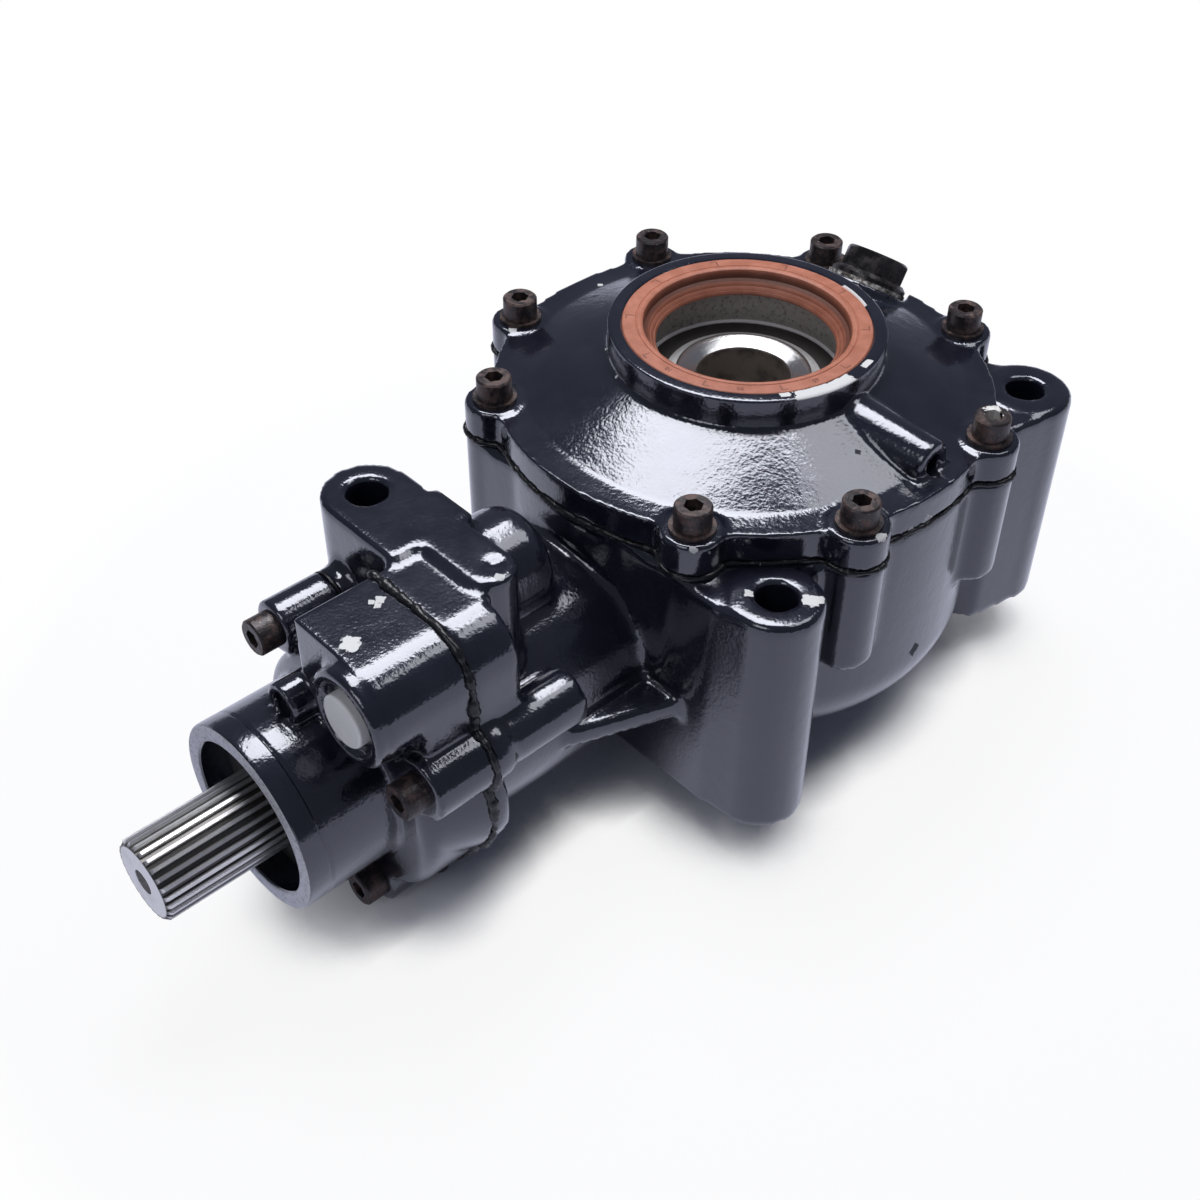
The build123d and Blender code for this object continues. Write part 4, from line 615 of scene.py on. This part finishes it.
gasket, tree, shader, place = new_finish("gasket")
lumps = speckle(tree, place, 500.0, 3.0)
flecks = soft_step(tree, speckle(tree, place, 800.0, 4.0, 0.7), 0.66, 0.72)
colour = between(tree, lumps, (0.004, 0.004, 0.005), (0.018, 0.018, 0.021))
colour = between(tree, flecks, colour, (0.5, 0.5, 0.52))
put(tree, shader.inputs["Base Color"], colour)
put(tree, shader.inputs["Roughness"], maths(tree, "ADD", 0.15, maths(tree, "MULTIPLY", lumps, 0.3)))
finish_bump(tree, shader, lumps, 0.0004, 0.5)

shield, tree, shader, place = new_finish("black_shield")
rings = use_group(tree, streaks, Along=radius_about(tree, place, about_z), Place=place, Fineness=2500.0)
put(tree, shader.inputs["Base Color"], between(tree, rings, (0.01, 0.01, 0.01), (0.04, 0.035, 0.03)))
put(tree, shader.inputs["Roughness"], maths(tree, "ADD", 0.3, maths(tree, "MULTIPLY", rings, 0.3)))
finish_bump(tree, shader, rings, 0.0002, 0.4)

white_plastic, tree, shader, place = new_finish("white_plastic")
patches = speckle(tree, place, 300.0, 3.0)
marks = soft_step(tree, speckle(tree, place, 900.0, 3.0, 0.7), 0.66, 0.76)
colour = between(tree, patches, (0.88, 0.87, 0.83), (0.96, 0.95, 0.93))
put(tree, shader.inputs["Base Color"], between(tree, marks, colour, (0.4, 0.38, 0.34)))
put(tree, shader.inputs["Roughness"], maths(tree, "ADD", 0.3, maths(tree, "MULTIPLY", patches, 0.2)))
finish_bump(tree, shader, patches, 0.0004, 0.4)
print("soft and pressed finishes:", black_rubber.name, gasket.name, shield.name, white_plastic.name)

# %% [markdown]
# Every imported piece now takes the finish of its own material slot, and a few pieces take one
# that their slot doesn't know. Faces are smoothed only across shallow angles, so edges stay
# crisp, and on toothed pieces hardly at all, because a tooth's flanks meet at small angles.

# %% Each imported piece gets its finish
finishes = {
    "black_paint": painted["case"], "dark_steel": screw_steel, "brown_rubber": brown_rubber,
    "gasket": gasket, "white_plastic": white_plastic, "black_shield": shield,
    "cast_steel": cast_steel, "bronze": bronze, "bright_steel": bright_steel,
}
own_finish = {"side_cover": painted["cover"], "nose_cap": painted["nose"],
              "cover_washers": screw_steel, "fill_washer": washer_steel, "input_seal": black_rubber,
              "fill_plug": plug_steel}
toothed = ("input_shaft", "bevel_pinion", "ring_gear", "dog_clutch", "dog_hub")
tooth_angle = 8
plain_angle = 32
slot_of = {piece["node"]: piece["material_slot"] for piece in frame["record"]["subparts"]}
for node_name, piece in nodes.items():
    piece.data.materials.clear()
    piece.data.materials.append(own_finish.get(node_name, finishes[slot_of[node_name]]))
    bpy.ops.object.select_all(action="DESELECT")
    piece.select_set(True)
    bpy.context.view_layer.objects.active = piece
    widest = tooth_angle if node_name in toothed else plain_angle
    bpy.ops.object.shade_smooth_by_angle(angle=math.radians(widest))
print("finishes given to", len(nodes), "packed pieces")

# %% [markdown]
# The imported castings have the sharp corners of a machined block. The real ones came out of
# a sand mould, so every inner and outer corner is rounded. A voxel remesh turns a copy of
# the casting into small even faces, and a few rounds of smoothing soften the corners.

# %% Cast copies of the three castings
def copy_of(node_name, new_name):
    """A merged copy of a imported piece, ready to be reshaped."""
    bpy.ops.object.select_all(action="DESELECT")
    made = bpy.data.objects.new(new_name, nodes[node_name].data.copy())
    bpy.context.scene.collection.objects.link(made)
    made.select_set(True)
    bpy.context.view_layer.objects.active = made
    bpy.ops.object.mode_set(mode="EDIT")
    bpy.ops.mesh.select_all(action="SELECT")
    bpy.ops.mesh.remove_doubles(threshold=0.000001)
    bpy.ops.object.mode_set(mode="OBJECT")
    return made


def recast(node_name, new_name, voxel, rounds):
    """Replaces a casting by a copy with soft, cast corners."""
    made = copy_of(node_name, new_name)
    remesh = made.modifiers.new("remesh", "REMESH")
    remesh.mode = "VOXEL"
    remesh.voxel_size = voxel * mm
    bpy.ops.object.modifier_apply(modifier="remesh")
    soften = made.modifiers.new("soften", "SMOOTH")
    soften.factor = 0.5
    soften.iterations = rounds
    bpy.ops.object.modifier_apply(modifier="soften")
    bpy.ops.object.shade_smooth()
    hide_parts(node_name)
    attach(made, "housing")
    faces = sum(len(face.vertices) - 2 for face in made.data.polygons)
    print(new_name, "has", faces, "triangles")
    return made


recast("gear_case", "cast_case", voxel=1.78, rounds=2)
cast_cover = recast("side_cover", "cast_cover", voxel=1.1, rounds=2)
cast_nose = recast("nose_cap", "cast_nose", voxel=1.05, rounds=2)

# %% [markdown]
# A lathe cut the seal's seat and the end of the nose after casting, so these rims are
# crisp. They are turned pieces here too: a closed profile is spun round the axis. The cast
# skin below it is sunk by a quarter or half a millimetre, so the two never share a surface.

# %% Turned pieces
def lathe(name, profile, sides=160, lying=False, body="housing"):
    """A closed ring from a profile of (radius, height) corners, upright or along the shaft."""
    bpy.ops.object.select_all(action="DESELECT")
    bpy.ops.mesh.primitive_circle_add(vertices=len(profile), radius=0.01)
    made = bpy.context.active_object
    made.name = name
    for point, (radius, height) in zip(made.data.vertices, profile):
        point.co = (radius * mm, 0, height * mm)
    bpy.ops.object.mode_set(mode="EDIT")
    bpy.ops.mesh.select_all(action="SELECT")
    bpy.ops.mesh.spin(steps=sides, angle=math.radians(360), center=(0, 0, 0), axis=(0, 0, 1))
    bpy.ops.mesh.select_all(action="SELECT")
    bpy.ops.mesh.remove_doubles(threshold=0.000002)
    bpy.ops.mesh.normals_make_consistent(inside=False)
    bpy.ops.object.mode_set(mode="OBJECT")
    if lying:
        made.rotation_euler = (math.radians(90), 0, 0)
        bpy.ops.object.transform_apply(location=True, rotation=True, scale=True)
    bpy.ops.object.shade_smooth_by_angle(angle=math.radians(28))
    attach(made, body)
    print(name, "has", len(made.data.polygons), "faces")
    return made


def sink(piece, within, depth):
    """Moves the points of a piece that pass a test inwards along their normals."""
    moved = [(point.index, point.co - point.normal * depth * mm)
             for point in piece.data.vertices if within(point.co)]
    for index, place in moved:
        piece.data.vertices[index].co = place


rim_foot_z = 81.3
rim_outer_r = 51
seat_foot_z = 60
seat_outer_r = 39
nose_rim_y = -219.0
bead_front_y = -219.4
bead_back_y = -217.9
bead_inner_r = 33.9
sink(cast_cover, lambda p: p.z > rim_foot_z * mm and math.hypot(p.x, p.y) < rim_outer_r * mm, 0.25)
sink(cast_cover, lambda p: p.z > seat_foot_z * mm and math.hypot(p.x, p.y) < seat_outer_r * mm, 0.25)
sink(cast_nose, lambda p: p.y < nose_rim_y * mm, 0.25)
sink(cast_nose, lambda p: bead_front_y * mm < p.y < bead_back_y * mm
     and math.hypot(p.x, p.z) > bead_inner_r * mm, 0.5)

# %% [markdown]
# The cover's rim holds the seal, and the nose's rim takes the drive coupling. Each profile
# goes once round its section, from corner to corner, with small steps where an edge is
# rounded.

# %% Rims of the cover and the nose
cover_rim = lathe("cover_rim", [
    (50.2, 81.0), (50.2, 90.9), (50.05, 91.3), (49.6, 91.65), (49.0, 91.8), (45.6, 91.8), (45.05, 91.3),
    (45.05, 81.8), (37.8, 81.8), (37.35, 81.4), (37.35, 69.4), (41.0, 69.4), (46.0, 79.0)])
cover_rim.data.materials.append(painted["cover"])
nose_rim = lathe("nose_rim", [
    (34.2, 218.8), (34.62, 219.3), (34.62, 225.2), (34.4, 226.2), (33.9, 226.75), (33.3, 226.9),
    (28.9, 226.9), (28.4, 226.6), (28.0, 226.0), (28.0, 214.0), (30.0, 213.0), (33.0, 217.0)],
    lying=True)
nose_rim.data.materials.append(painted["nose"])

# %% [markdown]
# Inside the seal the hub turns. Its end is dished towards the hole, so its far side shows
# the lamp as a white crescent. A turned ring gives it that face and the smooth bore, over a
# copy of the imported piece with its end lowered. Round the black shield, the thin rounded
# edge of the bearing's outer race shows as a bright line, which is a painted highlight: it
# is drawn near white.

# %% Dished hub and the race's edge
hub_end_r = 26
hub_end_z = 71
hub_drop = 3.0
lowered_cap = copy_of("carrier_cap", "lowered_cap")
for point in lowered_cap.data.vertices:
    if math.hypot(point.co.x, point.co.y) < hub_end_r * mm and point.co.z > hub_end_z * mm:
        point.co.z -= hub_drop * mm
lowered_cap.data.update()
bpy.ops.object.shade_smooth_by_angle(angle=math.radians(32))
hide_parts("carrier_cap")
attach(lowered_cap, "differential_case")
hub_ring = lathe("hub_ring", [
    (25.0, 68.0), (25.0, 71.2), (24.85, 71.5), (24.5, 71.6), (23.6, 71.55), (22.0, 71.2), (18.4, 70.1),
    (17.8, 69.8), (17.5, 69.3), (17.5, 51.0), (18.5, 51.0), (18.5, 67.0)], body="differential_case")
hub_ring.data.materials.append(cast_steel)
race_edge = lathe("race_edge", [
    (36.1, 69.2), (36.2, 69.42), (36.5, 69.5), (36.95, 69.6), (37.3, 69.75), (37.6, 69.95), (37.6, 69.2)])
race_edge.data.materials.append(painted_glint_steel)

# %% [markdown]
# The axle seal shows its whole face: a flat outer ring with moulded marks, a groove, a
# rounded bead, and a stepped lip that goes down to the hub. It is turned as the rims are.

# %% Axle seal with a stepped lip
axle_seal = lathe("axle_seal", [
    (45.0, 81.9), (45.0, 91.2), (44.7, 91.55), (44.3, 91.6), (40.3, 91.6), (40.05, 91.35), (39.75, 91.35),
    (39.5, 91.65), (39.0, 91.78), (38.2, 91.7), (37.6, 91.3), (37.25, 90.4), (37.1, 89.4), (36.9, 88.2),
    (35.6, 87.4), (35.3, 87.0), (34.9, 86.4), (34.75, 86.0), (34.5, 86.1), (33.6, 85.2), (33.4, 84.8),
    (33.1, 84.9), (32.6, 84.2), (32.5, 83.8), (32.7, 83.3), (33.6, 82.9), (35.9, 82.9), (37.5, 86.5),
    (43.4, 88.4), (43.4, 81.9)], sides=192)
axle_seal.data.materials.append(brown_rubber)
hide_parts("upper_axle_seal")

# %% [markdown]
# Three plain numbers stand on the seal's face. Text is the quickest start: it is turned into
# a mesh, laid on the ring with its top outwards, and given a darker rubber so that it reads.

# %% Moulded size numbers on the seal
number_height = 2.7
number_depth = 0.06
number_ring_r = 42.2
number_z = 91.62


def ring_number(text, azimuth):
    """A flat moulded number that stands on the seal's face with its top outwards."""
    bpy.ops.object.select_all(action="DESELECT")
    bpy.ops.object.text_add(location=(0, 0, 0))
    made = bpy.context.active_object
    made.data.body = text
    made.data.size = number_height * mm
    made.data.align_x = "CENTER"
    made.data.align_y = "CENTER"
    made.data.extrude = number_depth * mm
    bpy.ops.object.convert(target="MESH")
    made.name = "seal_number_" + text
    turn = math.radians(azimuth)
    reach = number_ring_r * mm
    made.location = (reach * math.cos(turn), reach * math.sin(turn), number_z * mm)
    made.rotation_euler = (0, 0, turn - math.radians(90))
    bpy.ops.object.transform_apply(location=True, rotation=True, scale=True)
    made.data.materials.append(mark_rubber)
    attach(made, "housing")
    print(made.name, "has", len(made.data.polygons), "faces")


mark_rubber, tree, shader, place, colour = rubber(
    "mark_rubber", (0.17, 0.05, 0.028), (0.25, 0.08, 0.05), (0.4, 0.2, 0.14))
put(tree, shader.inputs["Base Color"], colour)
for text, azimuth in (("10", -86.5), ("90", -49.8), ("65", -13.2)):
    ring_number(text, azimuth)

# %% [markdown]
# Sealant was squeezed out of both joints and painted over, so a thin uneven black bead
# runs round them. Each bead follows the outer edge of its packed gasket, evenly resampled,
# as a curve with a round section. Its points are then pushed in and out by noise.

# %% Sealant beads
def outer_loop(node_name, axis):
    """The longest edge loop of a gasket's highest face along an axis, as points in order."""
    made = copy_of(node_name, "outline")
    level = max(point.co[axis] for point in made.data.vertices)
    links = {}
    borders = {}
    for face in made.data.polygons:
        if abs(face.normal[axis]) > 0.9 and abs(face.center[axis] - level) < 0.00001:
            for pair in face.edge_keys:
                borders[pair] = borders.get(pair, 0) + 1
    for (first, second), count in borders.items():
        if count == 1:
            links.setdefault(first, []).append(second)
            links.setdefault(second, []).append(first)
    best = []
    left = set(links)
    while left:
        here = min(left)
        loop = []
        while here is not None:
            loop.append(made.data.vertices[here].co.copy())
            left.discard(here)
            here = next((point for point in links[here] if point in left), None)
        best = max(best, loop, key=lambda points: sum((a - b).length for a, b in zip(points, points[1:])))
    bpy.data.objects.remove(made)
    return best


def evenly(points, step):
    """The same closed line with points a fixed step apart."""
    spread = []
    carried = 0.0
    for first, second in zip(points, points[1:] + points[:1]):
        length = (second - first).length
        while carried < length:
            spread.append(first.lerp(second, carried / length))
            carried += step
        carried -= length
    return spread


bead_step = 0.9
broad_waves = 180.0
fine_waves = 600.0
wander_waves = 140.0


def seam_bead(name, node_name, axis, shift, thick, uneven):
    """A bead of sealant along a gasket's outer edge."""
    points = evenly(outer_loop(node_name, axis), bead_step * mm)
    bpy.ops.object.select_all(action="DESELECT")
    bpy.ops.curve.primitive_bezier_circle_add()
    made = bpy.context.active_object
    made.name = name
    made.data.splines.clear()
    line = made.data.splines.new("POLY")
    line.points.add(len(points) - 1)
    for point, place in zip(line.points, points):
        place[axis] += shift * mm
        swell = noise.noise(place * broad_waves) * 0.6 + noise.noise(place * fine_waves) * 0.4
        wander = noise.noise(place * wander_waves + Vector((5, 0, 0)))
        place[axis] += wander * uneven * 0.5 * mm
        point.co = (*place, 1)
        point.radius = max(0.35, 1.0 + swell * uneven)
    line.use_cyclic_u = True
    made.data.dimensions = "3D"
    made.data.bevel_depth = thick * mm
    made.data.bevel_resolution = 2
    bpy.ops.object.convert(target="MESH")
    made.data.materials.clear()
    made.data.materials.append(gasket)
    bpy.ops.object.shade_smooth()
    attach(made, "housing")
    print(name, "has", len(made.data.polygons), "faces")


seam_bead("cover_sealant", "cover_gasket", axis=2, shift=-0.3, thick=1.0, uneven=1.0)
seam_bead("nose_sealant", "nose_gasket", axis=1, shift=-0.4, thick=1.4, uneven=1.3)
